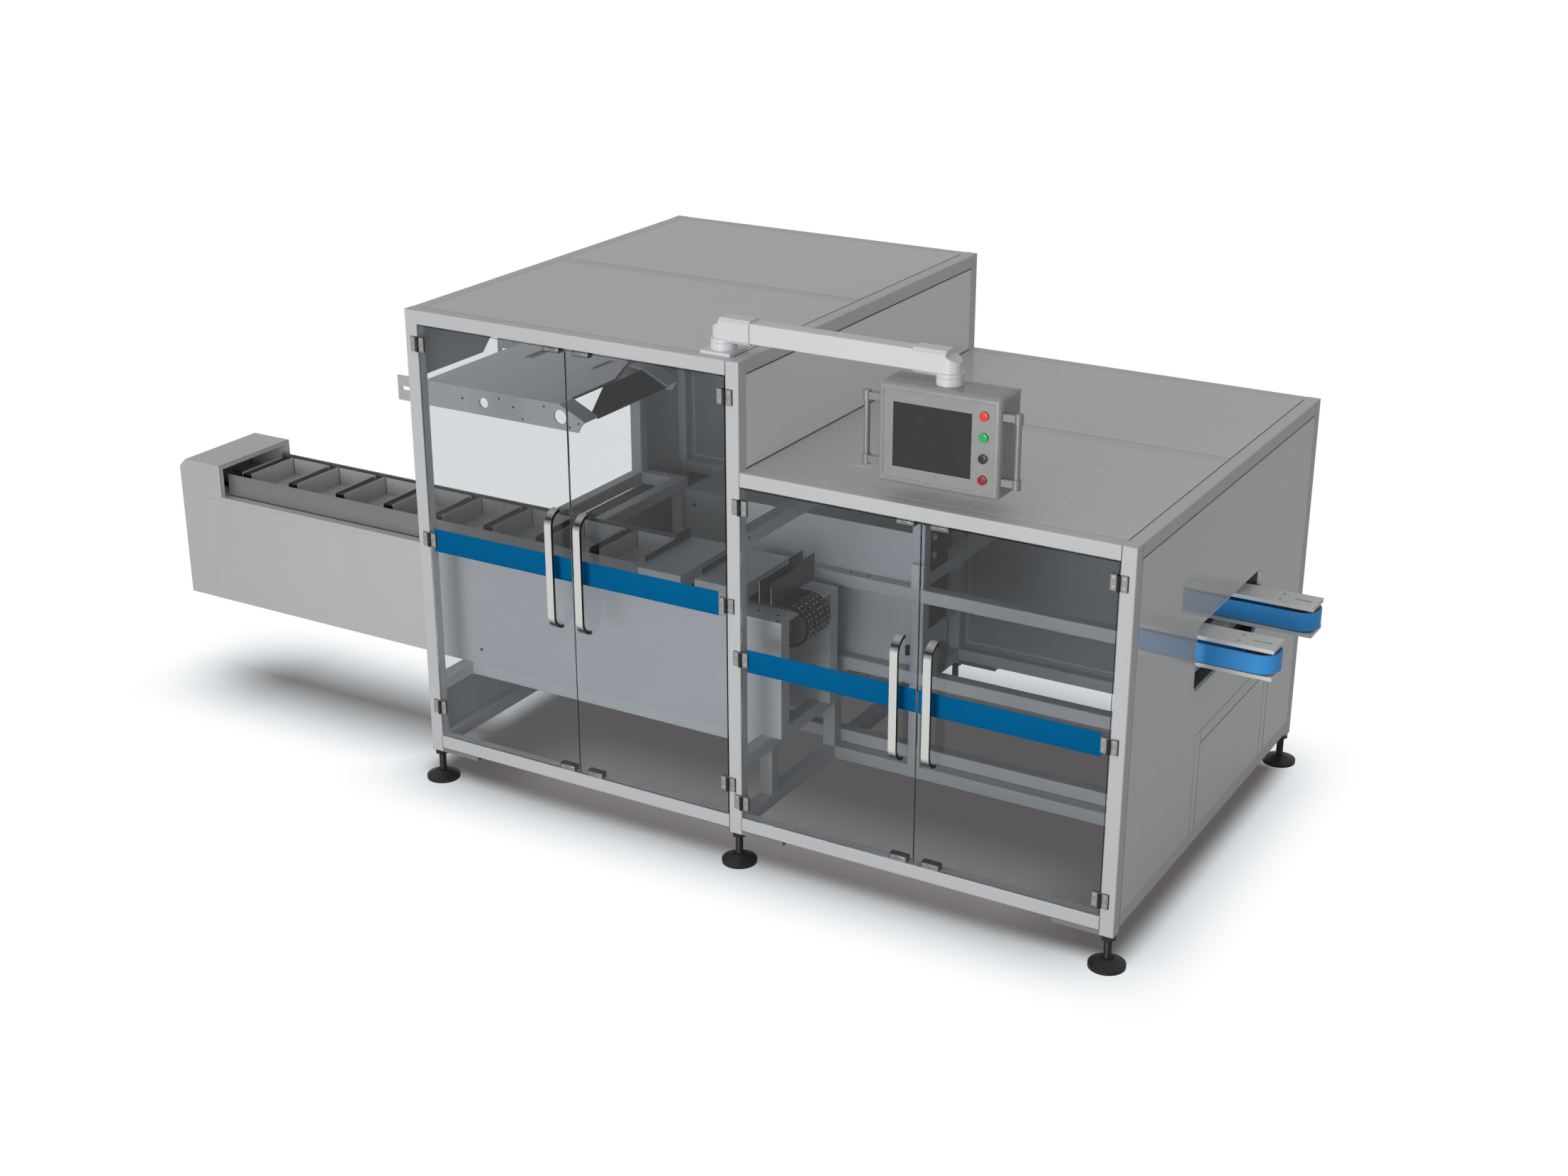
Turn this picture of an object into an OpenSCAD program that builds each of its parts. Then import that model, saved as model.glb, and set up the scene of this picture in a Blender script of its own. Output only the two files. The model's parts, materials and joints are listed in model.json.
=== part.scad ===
// Automatic cartoner: two glazed cabinets in line, a bucket infeed conveyor, a carton
// magazine, an operator panel on a swing arm and a pair of gripping exit belts.
// Heights called "above the posts' feet" are measured from the bottom of the frame posts.

/* [Frame] */
// Side of the square frame tube
tube = 50; // [40:1:60]
// Corner radius of the frame tube
tube_r = 4; // [2:0.5:8]
// Width of the tall cabinet over its posts
tall_w = 1363; // [1300:1:1600]
// Width that the low cabinet adds beside the tall one
low_w = 1383; // [1300:1:1600]
// Depth of both cabinets over their posts
depth = 1770; // [1740:1:1900]
// Height of the tall cabinet above the posts' feet
tall_h = 1700; // [1600:1:1800]
// Height of the tall cabinet's roof above the low cabinet's roof
step_h = 371; // [350:1:400]
// Height of the bottom rails above the posts' feet
rail_lift = 15; // [10:1:25]
// Distance from the front plane to the roof rail of the tall cabinet
tall_roof_rail_y = 860; // [700:1:1000]
// Distance from the front plane to the roof rail of the low cabinet
low_roof_rail_y = 898; // [700:1:1000]
// Distance from the front plane to the second post of the left wall
left_post_y = 1376; // [1320:1:1450]
// Height of the conveyor beams above the posts' feet
beam_z = 240; // [200:1:280]
// Height of the carton table's rails above the posts' feet
table_z = 655; // [560:1:700]
// Distance from the frame's left face to the carton table's inner rail
table_x = 195; // [150:1:300]
// Height of the back wall's middle rail above the posts' feet
back_rail_z = 610; // [500:1:700]

/* [Panels] */
// Thickness of wall and roof panels
panel_t = 12; // [6:1:20]
// Clearance between a piece and the opening or seat it is set in
fit_gap = 0.3; // [0.2:0.05:0.5]
// Depth of the front panel of the left wall, from the front post
left_panel_l = 417; // [300:1:500]
// Height of that panel
left_panel_h = 205; // [160:1:230]
// Corner cut of that panel
left_panel_cut = 50; // [20:1:80]
// Thickness of the lining sheet under the left table rail
lining_t = 6; // [3:1:8]
// Distance from the front plane to the back edge of that sheet
lining_back_y = 1413; // [1385:1:1420]
// Distance from the front plane to the exit cut-out in the right wall
exit_cut_y = 600; // [560:1:640]
// Width of the exit cut-out
exit_cut_w = 632; // [610:1:700]
// Height of the lower edge of the exit cut-out above the posts' feet
exit_cut_z = 620; // [560:1:660]
// Height of the exit cut-out
exit_cut_h = 237; // [200:1:260]
// Corner radius of the exit cut-out
exit_cut_r = 30; // [10:1:50]
// Distance from the front plane to the service hatch in the right wall
hatch_y = 663; // [500:1:800]
// Width of the service hatch over its frame
hatch_w = 766; // [600:1:850]
// Height of the top of the hatch frame above the posts' feet
hatch_top = 442; // [380:1:520]
// Length of a grip slot in the low roof
roof_slot_l = 88; // [60:1:120]
// Width of a grip slot
roof_slot_w = 9; // [6:1:14]
// Distance from the ends of the low roof to the middle of the grip slots
roof_slot_in = 315; // [200:1:450]
// Distance from the front plane to the first row of grip slots
roof_slot_y = 265; // [200:1:400]
// Distance between the two rows of grip slots
roof_slot_gap = 352; // [250:1:450]

/* [Feet] */
// Height of the posts' feet above the floor
foot_h = 120; // [100:1:160]
// Diameter of a foot pad
pad_d = 125; // [90:1:140]
// Height of a foot pad at its rim
pad_rim_h = 12; // [8:1:16]
// Height of the pad's cone above its rim
pad_cone_h = 20; // [10:1:30]
// Diameter of a foot screw
foot_screw_d = 24; // [16:1:36]
// Width of the lock nut over its flats
foot_nut_w = 44; // [38:1:56]
// Height of the lock nut
foot_nut_h = 18; // [10:1:24]
// Length of the packing plate beside a corner post
packing_l = 165; // [100:1:250]

/* [Doors] */
// Thickness of a door pane
glass_t = 8; // [5:1:12]
// Gap round a door pane
door_gap = 4; // [3:0.5:6]
// Height of a hinge
hinge_h = 53; // [40:1:70]
// Width of a hinge leaf from the pin's axis
leaf_w = 28; // [22:1:36]
// Thickness of a hinge leaf
leaf_t = 4; // [3:0.5:5]
// Radius of a hinge knuckle
knuckle_r = 6; // [5:0.5:8]
// Radius of a hinge pin
pin_r = 3; // [2:0.5:4]
// Running clearance of a hinge pin
pin_clear = 0.05; // [0.03:0.01:0.09]
// Height of the tall doors' lowest hinge above the posts' feet
tall_hinge_low_z = 187; // [120:1:300]
// Height of the tall doors' middle hinge above the posts' feet
tall_hinge_mid_z = 853; // [700:1:1000]
// Height of the low doors' lowest hinge above the posts' feet
low_hinge_low_z = 127; // [110:1:250]
// Height of the low doors' middle hinge above the posts' feet
low_hinge_mid_z = 668; // [500:1:800]
// Distance from a top rail's underside to the middle of the highest hinge
hinge_drop = 70; // [50:1:120]
// Width of a handle bar
handle_w = 28; // [20:1:32]
// Thickness of a handle bar
handle_t = 12; // [8:1:16]
// Reach of a handle in front of the pane
handle_reach = 56; // [45:1:58]
// Distance from the meeting edges to the middle of a handle
handle_inset = 60; // [45:1:80]
// Length of a handle
handle_l = 445; // [300:1:500]
// Height of the lower end of the tall doors' handles above the posts' feet
tall_handle_z = 631; // [400:1:900]
// Height of the lower end of the low doors' handles above the posts' feet
low_handle_z = 447; // [300:1:700]
// Width of a door catch
catch_w = 65; // [40:1:80]
// Height of a door catch
catch_h = 21; // [12:1:30]
// Depth of a door catch
catch_d = 26; // [15:1:35]

/* [Infeed conveyor] */
// Reach of the conveyor to the left of the frame
conv_reach = 1390; // [1100:1:1700]
// Reach of the conveyor's side panels past the middle posts
conv_into = 40; // [30:1:60]
// Distance from the front plane to the conveyor
conv_y = 210; // [180:1:240]
// Width of the conveyor over its side panels
conv_w = 400; // [380:1:440]
// Sheet thickness of the conveyor's panels
conv_t = 4; // [2:0.5:6]
// Height of the conveyor's ledges above the posts' feet
ledge_z = 730; // [700:1:740]
// Width of a ledge in front of a trough wall
ledge_w = 42; // [30:1:60]
// Width of the closed box on each side of the chain
side_box_w = 53; // [45:1:70]
// Width of the plate on top of each side box
side_top_w = 115; // [100:1:118]
// Thickness of that plate
side_top_t = 10; // [6:1:14]
// Length of the end cover
cover_l = 217; // [190:1:260]
// Height of the end cover's top above the posts' feet
cover_top = 861; // [840:1:900]
// Corner cut of the end cover
cover_cut = 32; // [10:1:50]
// Sheet thickness of the trough walls
trough_t = 3; // [2:0.5:4]
// Height of the trough walls above the ledge
trough_h = 88; // [70:1:110]
// Width of the slat chain
chain_w = 160; // [120:1:220]
// Outer radius of the slat chain round its end drums
chain_r = 78; // [60:1:90]
// Thickness of the slats
slat_t = 8; // [5:1:12]
// Height of the slats' top above the posts' feet
slat_top = 746; // [735:1:755]
// Depth of the joint between two slats
slat_groove = 3; // [1:0.5:4]
// Width of the joint between two slats
slat_joint = 3; // [2:0.5:6]
// Number of slats to a bucket
slats_per_bucket = 6; // [4:1:8]
// Gap between the chain's two strands
strand_gap = 2; // [1:0.5:6]
// Pitch of the buckets along the chain
bucket_pitch = 240; // [200:1:300]
// Distance from the right drum's axis to the last divider
bucket_end = 103; // [90:1:120]
// Gap between the two plates of a divider
divider_gap = 47; // [30:1:70]
// Thickness of a divider plate
divider_t = 3; // [2:0.5:5]
// Height of a divider plate
divider_h = 72; // [50:1:80]
// Width of a divider plate
divider_w = 225; // [200:1:260]
// Height of a pusher plate, which takes a divider's place where cartons are loaded
pusher_h = 84; // [80:1:100]
// Height of the raised heel of a pusher plate
pusher_heel_h = 102; // [95:1:120]
// Length of that heel
pusher_heel_l = 105; // [60:1:140]
// Reach of a pusher plate behind the dividers' back edge
pusher_back = 78; // [40:1:85]
// Number of loading hoods over the chain
hood_count = 2; // [1:1:3]
// Length of a loading hood along the chain
hood_l = 182; // [150:1:190]
// Height of a loading hood above the ledge
hood_h = 75; // [60:1:85]
// Sheet thickness of a loading hood
hood_t = 3; // [2:0.5:4]
// Radius of a drum shaft
drum_shaft_r = 15; // [10:1:20]

/* [Carton magazine] */
// Reach of the magazine's side plates to the left of the frame
magazine_reach = 590; // [450:1:700]
// Length of the side plates inside the frame, to their tips
magazine_into = 302; // [280:1:450]
// Distance from the front plane to the magazine
magazine_y = 630; // [615:1:700]
// Width of the magazine over its side plates
magazine_w = 653; // [560:1:680]
// Height of the magazine's lower edge above the posts' feet
magazine_z = 1117; // [1060:1:1160]
// Height of the side plates
magazine_h = 100; // [80:1:130]
// Thickness of the magazine's sheets
magazine_t = 6; // [4:1:8]
// Length of the slope at the top of a side plate's tip
tip_l = 111; // [80:1:140]
// Height that the slope drops
tip_drop = 53; // [30:1:60]
// Length that the tip's lower corner is cut back
tip_cut = 29; // [15:1:40]
// Width of the lip folded inward along the slope
lip_w = 90; // [60:1:120]
// Length of the lip's level part
lip_l = 66; // [40:1:100]
// Distance from the side plates' left ends to the table sheet
table_in = 140; // [100:1:180]
// Distance from the table sheet's right edge to the tips
table_short = 122; // [110:1:140]
// Length of the slanted corner of the table sheet
table_corner_l = 260; // [200:1:300]
// Width of the slanted corner of the table sheet
table_corner_w = 105; // [60:1:140]
// Diameter of the left hole in a side plate
side_hole_left_d = 41; // [20:1:60]
// Diameter of the right hole in a side plate
side_hole_right_d = 56; // [30:1:70]
// Distance from the tips to the right hole
side_hole_in = 109; // [90:1:140]
// Distance between the two holes
side_hole_gap = 360; // [250:1:400]
// Length of the slot at a side plate's left end
side_slot_l = 40; // [20:1:60]
// Width of that slot
side_slot_w = 16; // [10:1:24]
// Length of the slots in the table sheet
table_slot_l = 145; // [100:1:180]
// Width of the slots in the table sheet
table_slot_w = 42; // [25:1:60]
// Distance between the slots in the table sheet
table_slot_gap = 326; // [250:1:360]
// Length of the end plate under the table sheet
guide_under = 118; // [60:1:140]
// Length along Y of the end plate's slanted front corner
guide_corner = 225; // [120:1:300]
// Length along X of that corner
guide_corner_w = 93; // [60:1:110]

/* [Operator panel] */
// Distance from the tall cabinet's right face to the arm's pivot
arm_in = 108; // [80:1:140]
// Distance from the front plane to the arm's pivot
arm_y = 90; // [75:1:120]
// Distance between the arm's pivot and the panel's pivot
arm_l = 816; // [700:1:950]
// Side of the arm's base plate
arm_plate = 112; // [90:1:130]
// Thickness of the arm's base plate
arm_plate_t = 12; // [8:1:20]
// Diameter of the swivel collars
collar_d = 87; // [80:1:100]
// Height of a swivel collar
collar_h = 26; // [15:1:40]
// Height of the arm's tube
arm_tube_h = 68; // [50:1:80]
// Width of the arm's tube
arm_tube_w = 60; // [40:1:80]
// Diameter of an elbow's upright
elbow_d = 74; // [70:1:80]
// Height of an elbow
elbow_h = 84; // [80:1:110]
// Slant of the cut across an elbow's top
elbow_slant = 26; // [15:1:35]
// Height of the ring under an elbow
elbow_ring_h = 14; // [8:1:20]
// Length of an elbow's socket from the pivot's axis
socket_l = 115; // [100:1:130]
// Wall of a socket round the arm's tube
socket_wall = 7; // [4:1:10]
// Corner cut of a socket
socket_cut = 12; // [6:1:18]
// Radius of a swivel pin
swivel_pin_r = 20; // [12:1:25]
// Width of the panel housing
hmi_w = 420; // [380:1:480]
// Height of the panel housing
hmi_h = 326; // [300:1:360]
// Depth of the panel housing
hmi_d = 150; // [120:1:155]
// Edge radius of the panel housing
hmi_r = 14; // [6:1:18]
// Distance from the housing's edges to the front recess
bezel_in = 20; // [15:1:26]
// Depth of the front recess
bezel_d = 3; // [2:0.5:5]
// Corner radius of the front recess
bezel_r = 6; // [3:1:10]
// Number of flutes across the housing's sides
flute_count = 9; // [5:1:12]
// Width of a flute
flute_w = 4; // [2:0.5:6]
// Depth of a flute
flute_d = 1.5; // [1:0.5:3]
// Width of the screen
screen_w = 269; // [220:1:290]
// Height of the screen
screen_h = 209; // [180:1:240]
// Distance from the housing's left side to the screen
screen_x = 53; // [30:1:70]
// Distance from the housing's top to the screen
screen_top = 60; // [40:1:75]
// Depth of the screen's recess
screen_recess = 6; // [3:1:10]
// Diameter of a push button
button_d = 30; // [22:1:40]
// Height of a push button in front of the housing
button_h = 9; // [5:1:15]
// Distance between push buttons
button_pitch = 68; // [45:1:72]
// Distance from the housing's right side to the buttons
button_inset = 56; // [35:1:62]
// Diameter of a grip rod
grip_d = 20; // [16:1:24]
// Diameter of the sockets at a grip rod's ends
grip_socket_d = 28; // [26:1:36]
// Height of those sockets
grip_socket_h = 34; // [24:1:44]
// Diameter of the arms that hold a grip rod
grip_arm_d = 18; // [12:1:22]
// Length of a grip rod
grip_l = 242; // [180:1:280]
// Distance from the housing's side to a grip rod's axis
grip_out = 49; // [35:1:65]

/* [Exit belts] */
// Reach of the exit belts past the frame's right face
exit_reach = 246; // [150:1:350]
// Length of the exit belts inside the frame's right face
exit_in = 234; // [200:1:260]
// Width of a belt unit's plates
exit_plate_w = 112; // [90:1:130]
// Length by which the belts pass the ends of the plates
exit_over = 11; // [6:1:20]
// Thickness of a belt unit's plates
exit_plate_t = 14; // [8:1:18]
// Height of the lower plates' underside above the posts' feet
exit_z = 686; // [675:1:700]
// Height between a unit's plates
exit_plate_gap = 83; // [70:1:90]
// Height of a belt
belt_h = 66; // [50:1:69]
// Thickness of a belt
belt_t = 5; // [3:0.5:8]
// Carton lane between the two belts
lane_w = 285; // [250:1:300]
// Clearance between the front belt and the inner rail
belt_clear = 6; // [5:1:12]
// Diameter of the holes in a belt unit's plates
exit_hole_d = 14; // [8:1:20]
// Distance between the two holes across a plate
exit_hole_gap = 52; // [36:1:70]
// Distance from a plate's end to the holes
exit_hole_in = 129; // [110:1:180]
// Distance from a plate's end to the slot
exit_slot_in = 24; // [15:1:40]
// Length of the slot
exit_slot_l = 63; // [40:1:75]
// Radius of a pulley's shaft
pulley_shaft_r = 10; // [6:1:14]

/* [Inner frame] */
// Distance from the conveyor's back to the inner frame
core_back = 58; // [52:1:90]
// Distance from the tall cabinet's right face to the middle inner post
core_post_in = 302; // [260:1:340]
// Length of the inner rails inside the tall cabinet
core_left_l = 460; // [300:1:500]
// Height of the lower inner rail above the posts' feet
core_low_z = 386; // [340:1:420]
// Height of the upper inner rail above the posts' feet
core_mid_z = 707; // [690:1:720]
// Height of the middle inner post's top above the posts' feet
core_top = 1002; // [950:1:1030]
// Height of the inner panel's top above the posts' feet
core_panel_top = 942; // [880:1:980]
// Thickness of the inner panels
core_panel_t = 6; // [3:1:10]
// Depth of the vent panels behind the middle inner post
vent_w = 147; // [120:1:180]
// Height of the lower vent panel's foot above the posts' feet
vent_z = 592; // [540:1:640]
// Height of the upper rail between the cabinets above the posts' feet
side_rail_z = 1054; // [1010:1:1100]
// Distance from the front plane to the rear shelf's front panel
shelf_y = 1403; // [1380:1:1415]

/* [Hidden] */
$fn = 48;
total_w = tall_w + low_w;
low_h = tall_h - step_h;
cut_over = 2;
loop_sides = 12;
rail_top = rail_lift + tube;
exit_end_x = total_w + exit_reach;
conv_end_x = tall_w + conv_into;
conv_back_y = conv_y + conv_w;
conv_mid_y = conv_y + conv_w / 2;
core_y = conv_back_y + core_back;
core_back_y = core_y + tube;
core_left_x = tall_w - core_left_l;
core_post_x = tall_w + core_post_in;
core_post2_x = total_w - exit_in - belt_clear - tube;
exit_l = exit_reach + exit_in;
carrier_x = [total_w - exit_in + tube / 2, total_w - panel_t - 2 * tube];
conv_bottom = beam_z + tube;
trough_y = conv_y + ledge_w;
drum_r = (chain_r - slat_t) * cos(180 / loop_sides);
drum_z = slat_top - chain_r;
drum_left_x = -conv_reach + chain_r + ledge_w;
drum_right_x = conv_end_x - chain_r / 2;
bucket_last_x = drum_right_x - bucket_end;
bucket_count = floor((bucket_last_x + conv_reach - cover_l) / bucket_pitch) + 1;
bucket_x = bucket_last_x - (bucket_count - 1) * bucket_pitch;
loading_x = bucket_last_x - hood_count * bucket_pitch;
hood_x = loading_x + divider_t + fit_gap;
divider_y = conv_mid_y - divider_w / 2;
slat_count = round((drum_right_x - drum_left_x) * slats_per_bucket / bucket_pitch);
slat_pitch = (drum_right_x - drum_left_x) / slat_count;
strand_w = (chain_w - strand_gap) / 2;
belt_r = exit_plate_w / 2 + exit_over - belt_t;
exit_y = conv_back_y + tube + exit_over + belt_clear;
exit_pitch = exit_plate_w + 2 * exit_over + lane_w;
tall_split = tall_w / 2;
low_split = (tall_w + total_w - tube) / 2;
tall_mid_x = tall_w - tube;
hinge_y = -knuckle_r;
knuckle_h = hinge_h / 3;
tall_hinge_z = [tall_hinge_low_z, tall_hinge_mid_z, tall_h - tube - hinge_drop];
low_hinge_z = [low_hinge_low_z, low_hinge_mid_z, low_h - tube - hinge_drop];
left_panel_z = tall_h - tube - left_panel_h;
magazine_back_y = magazine_y + magazine_w;
magazine_top = magazine_z + magazine_h;
magazine_bar_z = magazine_top - magazine_t - tube;
tip_z = magazine_top - tip_drop;
arm_x = tall_w - arm_in;
arm_z = tall_h + arm_plate_t + collar_h;
panel_x = arm_x + arm_l;
socket_h = arm_tube_h + 2 * socket_wall;
socket_w = arm_tube_w + 2 * socket_wall;
hmi_top = arm_z - collar_h;
hmi_front = arm_y - hmi_d / 2;
grip_y = hmi_front + hmi_r + grip_arm_d / 2;
mid_x = (exit_end_x - conv_reach) / 2;
mid_y = (depth + pad_d / 2 - tube / 2 - handle_reach) / 2;

// Common shapes

// Moves the machine so that the middle of its footprint stands at the origin
module place() { translate([-mid_x, -mid_y, foot_h]) children(); }

// Box between two opposite corners
module block(low, high) { translate(low) cube(high - low); }

// Rectangle with round corners, its lower left corner at the origin
module round_rect(w, h, r) {
    translate([r, 0]) square([w - 2 * r, h]);
    translate([0, r]) square([w, h - 2 * r]);
    for (x = [r, w - r], y = [r, h - r]) translate([x, y]) circle(r);
}

// Frame tube standing at x, y from height z0 to z1
module tube_z(x, y, z0, z1) {
    translate([x, y, z0]) linear_extrude(z1 - z0) round_rect(tube, tube, tube_r);
}

// Frame tube along X
module tube_x(x0, x1, y, z) {
    translate([x0, y, z]) rotate([90, 0, 90]) linear_extrude(x1 - x0) round_rect(tube, tube, tube_r);
}

// Frame tube along Y
module tube_y(x, y0, y1, z) {
    translate([x, y1, z]) rotate([90, 0, 0]) linear_extrude(y1 - y0) round_rect(tube, tube, tube_r);
}

// Places children drawn in Y and Z, pulled along X from x0 by the thickness t
module along_x(x0, t) { translate([x0, 0, 0]) rotate([90, 0, 90]) linear_extrude(t) children(); }

// Places children drawn in X and Z, pulled along Y from y0 by the thickness t
module along_y(y0, t) { translate([0, y0 + t, 0]) rotate([90, 0, 0]) linear_extrude(t) children(); }

// Frame

module frame_posts() {
    color("gainsboro") place() for (y = [0, depth - tube]) {
        tube_z(0, y, 0, tall_h);
        tube_z(tall_mid_x, y, 0, tall_h);
        tube_z(total_w - tube, y, 0, low_h);
    }
}

module long_rails() {
    color("gainsboro") place() {
        for (y = [0, depth - tube]) {
            for (z = [rail_lift, tall_h - tube]) tube_x(tube, tall_mid_x, y, z);
            for (z = [rail_lift, low_h - tube]) tube_x(tall_w, total_w - tube, y, z);
        }
        tube_x(tube, tall_mid_x, tall_roof_rail_y, tall_h - tube);
        tube_x(tall_w, total_w - tube, low_roof_rail_y, low_h - tube);
        tube_x(tube, tall_mid_x, depth - tube, back_rail_z);
        tube_x(tube, tall_mid_x, left_post_y, rail_lift);
    }
}

module cross_rails() {
    color("gainsboro") place() {
        for (z = [rail_lift, tall_h - tube]) tube_y(0, tube, depth - tube, z);
        for (z = [rail_lift, beam_z, side_rail_z, low_h - tube, tall_h - tube])
            tube_y(tall_mid_x, tube, depth - tube, z);
        for (z = [rail_lift, low_h - tube]) tube_y(total_w - tube, tube, depth - tube, z);
    }
}

module left_wall_frame() {
    color("gainsboro") place() {
        tube_z(0, left_post_y, rail_top, tall_h - tube);
        tube_y(0, tube, left_post_y - fit_gap, beam_z);
        tube_y(0, conv_back_y, left_post_y - fit_gap, table_z);
        tube_y(0, magazine_y + magazine_t, magazine_back_y - magazine_t, magazine_bar_z);
        tube_y(0, magazine_back_y, left_post_y - fit_gap, magazine_bar_z);
    }
}

// Rails round the carton table behind the conveyor, with a leg at their corner
module carton_frame() {
    color("gainsboro") place() {
        tube_x(tube, table_x - fit_gap, left_post_y, table_z);
        tube_y(table_x, conv_back_y, left_post_y + tube, table_z);
        tube_z(table_x, left_post_y, rail_top, table_z - fit_gap);
    }
}

module conveyor_beams() {
    color("gainsboro") place() for (y = [conv_y, conv_back_y - tube]) tube_x(tube, tall_mid_x, y, beam_z);
}

module packing_plates() {
    color("gray") place() for (y = [0, depth - tube]) {
        for (x = [tube, tall_w, tall_mid_x - packing_l, total_w - tube - packing_l]) {
            block([x, y, 0], [x + packing_l, y + tube, rail_lift]);
        }
    }
}

module levelling_feet() {
    color("dimgray") place() for (x = [0, tall_mid_x, total_w - tube], y = [0, depth - tube]) {
        translate([x + tube / 2, y + tube / 2, -foot_h]) levelling_foot();
    }
}

module levelling_foot() {
    cylinder(d = pad_d, h = pad_rim_h);
    translate([0, 0, pad_rim_h]) cylinder(d1 = pad_d, d2 = foot_nut_w, h = pad_cone_h);
    cylinder(d = foot_screw_d, h = foot_h);
    translate([0, 0, foot_h - foot_nut_h]) cylinder(d = foot_nut_w / cos(30), h = foot_nut_h, $fn = 6);
}

// Walls and roof

module roof_panels() {
    color("lightgray") place() {
        roof_panel(tube, tall_mid_x, tube, tall_roof_rail_y, tall_h);
        roof_panel(tube, tall_mid_x, tall_roof_rail_y + tube, depth - tube, tall_h);
        difference() {
            roof_panel(tall_w, total_w - tube, tube, low_roof_rail_y, low_h);
            for (x = [tall_w + roof_slot_in, total_w - tube - roof_slot_in], i = [0, 1]) {
                translate([x, roof_slot_y + i * roof_slot_gap, low_h - panel_t - cut_over])
                    linear_extrude(panel_t + 2 * cut_over) slot_outline(roof_slot_l, roof_slot_w);
            }
        }
        roof_panel(tall_w, total_w - tube, low_roof_rail_y + tube, depth - tube, low_h);
    }
}

// Panel set flush in a roof opening
module roof_panel(x0, x1, y0, y1, top) {
    block([x0 + fit_gap, y0 + fit_gap, top - panel_t], [x1 - fit_gap, y1 - fit_gap, top]);
}

// Slot with round ends, its middle at the origin and its length along X
module slot_outline(l, w) {
    square([l - w, w], center = true);
    for (x = [-1, 1]) translate([x * (l - w) / 2, 0]) circle(d = w);
}

// Outline of a panel set in an opening from u0 to u1 and from z0 to z1
module panel_outline(u0, u1, z0, z1) {
    translate([u0 + fit_gap, z0 + fit_gap]) square([u1 - u0 - 2 * fit_gap, z1 - z0 - 2 * fit_gap]);
}

module right_wall() {
    color("lightgray") place() along_x(total_w - panel_t, panel_t) difference() {
        panel_outline(tube, depth - tube, rail_top, low_h - tube);
        translate([exit_cut_y, exit_cut_z]) round_rect(exit_cut_w, exit_cut_h, exit_cut_r);
        translate([hatch_y - fit_gap, 0]) square([hatch_w + 2 * fit_gap, hatch_top + fit_gap]);
    }
}

module hatch_frame() {
    color("gainsboro") place() {
        for (y = [hatch_y, hatch_y + hatch_w - tube]) tube_z(total_w - tube, y, rail_top, hatch_top);
        tube_y(total_w - tube, hatch_y + tube + fit_gap, hatch_y + hatch_w - tube - fit_gap,
            hatch_top - tube);
    }
}

module hatch_panel() {
    color("lightgray") place() along_x(total_w - panel_t, panel_t)
        panel_outline(hatch_y + tube, hatch_y + hatch_w - tube, rail_top, hatch_top - tube);
}

module tall_side_wall() {
    color("lightgray") place() along_x(tall_w - panel_t, panel_t)
        panel_outline(tube, depth - tube, low_h, tall_h - tube);
}

module left_walls() {
    color("lightgray") place() along_x(0, panel_t) {
        difference() {
            panel_outline(tube, tube + left_panel_l, left_panel_z, tall_h - tube);
            translate([tube + left_panel_l, left_panel_z]) rotate(45)
                square(left_panel_cut * sqrt(2), center = true);
        }
        panel_outline(left_post_y + tube, depth - tube, rail_top, tall_h - tube);
        panel_outline(tube, left_post_y, rail_top, beam_z);
    }
    color("lightgray") place() along_x(tube + fit_gap, lining_t)
        panel_outline(conv_back_y, lining_back_y, beam_z, table_z);
}

module back_walls() {
    color("lightgray") place() along_y(depth - panel_t, panel_t) {
        panel_outline(tube, tall_mid_x, rail_top, back_rail_z);
        panel_outline(tube, tall_mid_x, back_rail_z + tube, tall_h - tube);
        panel_outline(tall_w, total_w - tube, rail_top, low_h - tube);
    }
}

// Doors

// Pane between x0 and x1 that fills an opening up to the given height
module pane(x0, x1, height) {
    color("slategray", 0.6) place()
        block([x0, 0, rail_top + door_gap], [x1, glass_t, height - tube - door_gap]);
}

// Bow handle: a flat bar whose round ends stand on the pane
module handle(x, z) {
    color("silver") place() translate([x - handle_w / 2, 0, z]) rotate([90, 0, 90]) {
        for (flip = [0, 1]) translate([0, flip * handle_l, 0]) mirror([0, flip, 0])
            translate([0, handle_reach, 0]) rotate(180) handle_bend();
        translate([-handle_reach, handle_reach, 0])
            cube([handle_t, handle_l - 2 * handle_reach, handle_w]);
    }
}

// Quarter turn of the handle bar
module handle_bend() {
    rotate_extrude(angle = 90) translate([handle_reach - handle_t, 0]) square([handle_t, handle_w]);
}

// Leaf of a hinge that lies to the right of the pin's axis at x = 0
module leaf_plate() {
    block([knuckle_r + 1, -leaf_t, -hinge_h / 2], [leaf_w, 0, hinge_h / 2]);
}

// Knuckle of height h from z, with the web that joins it to its leaf
module knuckle(z, h) {
    translate([0, hinge_y, z]) cylinder(r = knuckle_r, h = h);
    block([0, -leaf_t, z], [knuckle_r + 1, 0, z + h]);
}

// Moving leaf: one bored knuckle in the middle
module door_leaf() {
    leaf_plate();
    difference() {
        knuckle(-knuckle_h / 2 + fit_gap, knuckle_h - 2 * fit_gap);
        translate([0, hinge_y, -hinge_h]) cylinder(r = pin_r + pin_clear, h = 2 * hinge_h);
    }
}

// Fixed leaf: the outer knuckles and the pin
module post_leaf() {
    mirror([1, 0, 0]) {
        leaf_plate();
        for (z = [-hinge_h / 2, knuckle_h / 2]) knuckle(z, knuckle_h);
    }
    translate([0, hinge_y, -hinge_h / 2]) cylinder(r = pin_r, h = hinge_h);
}

// Distance of a hinge axis from its post's edge
hinge_in = door_gap / 2;

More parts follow.
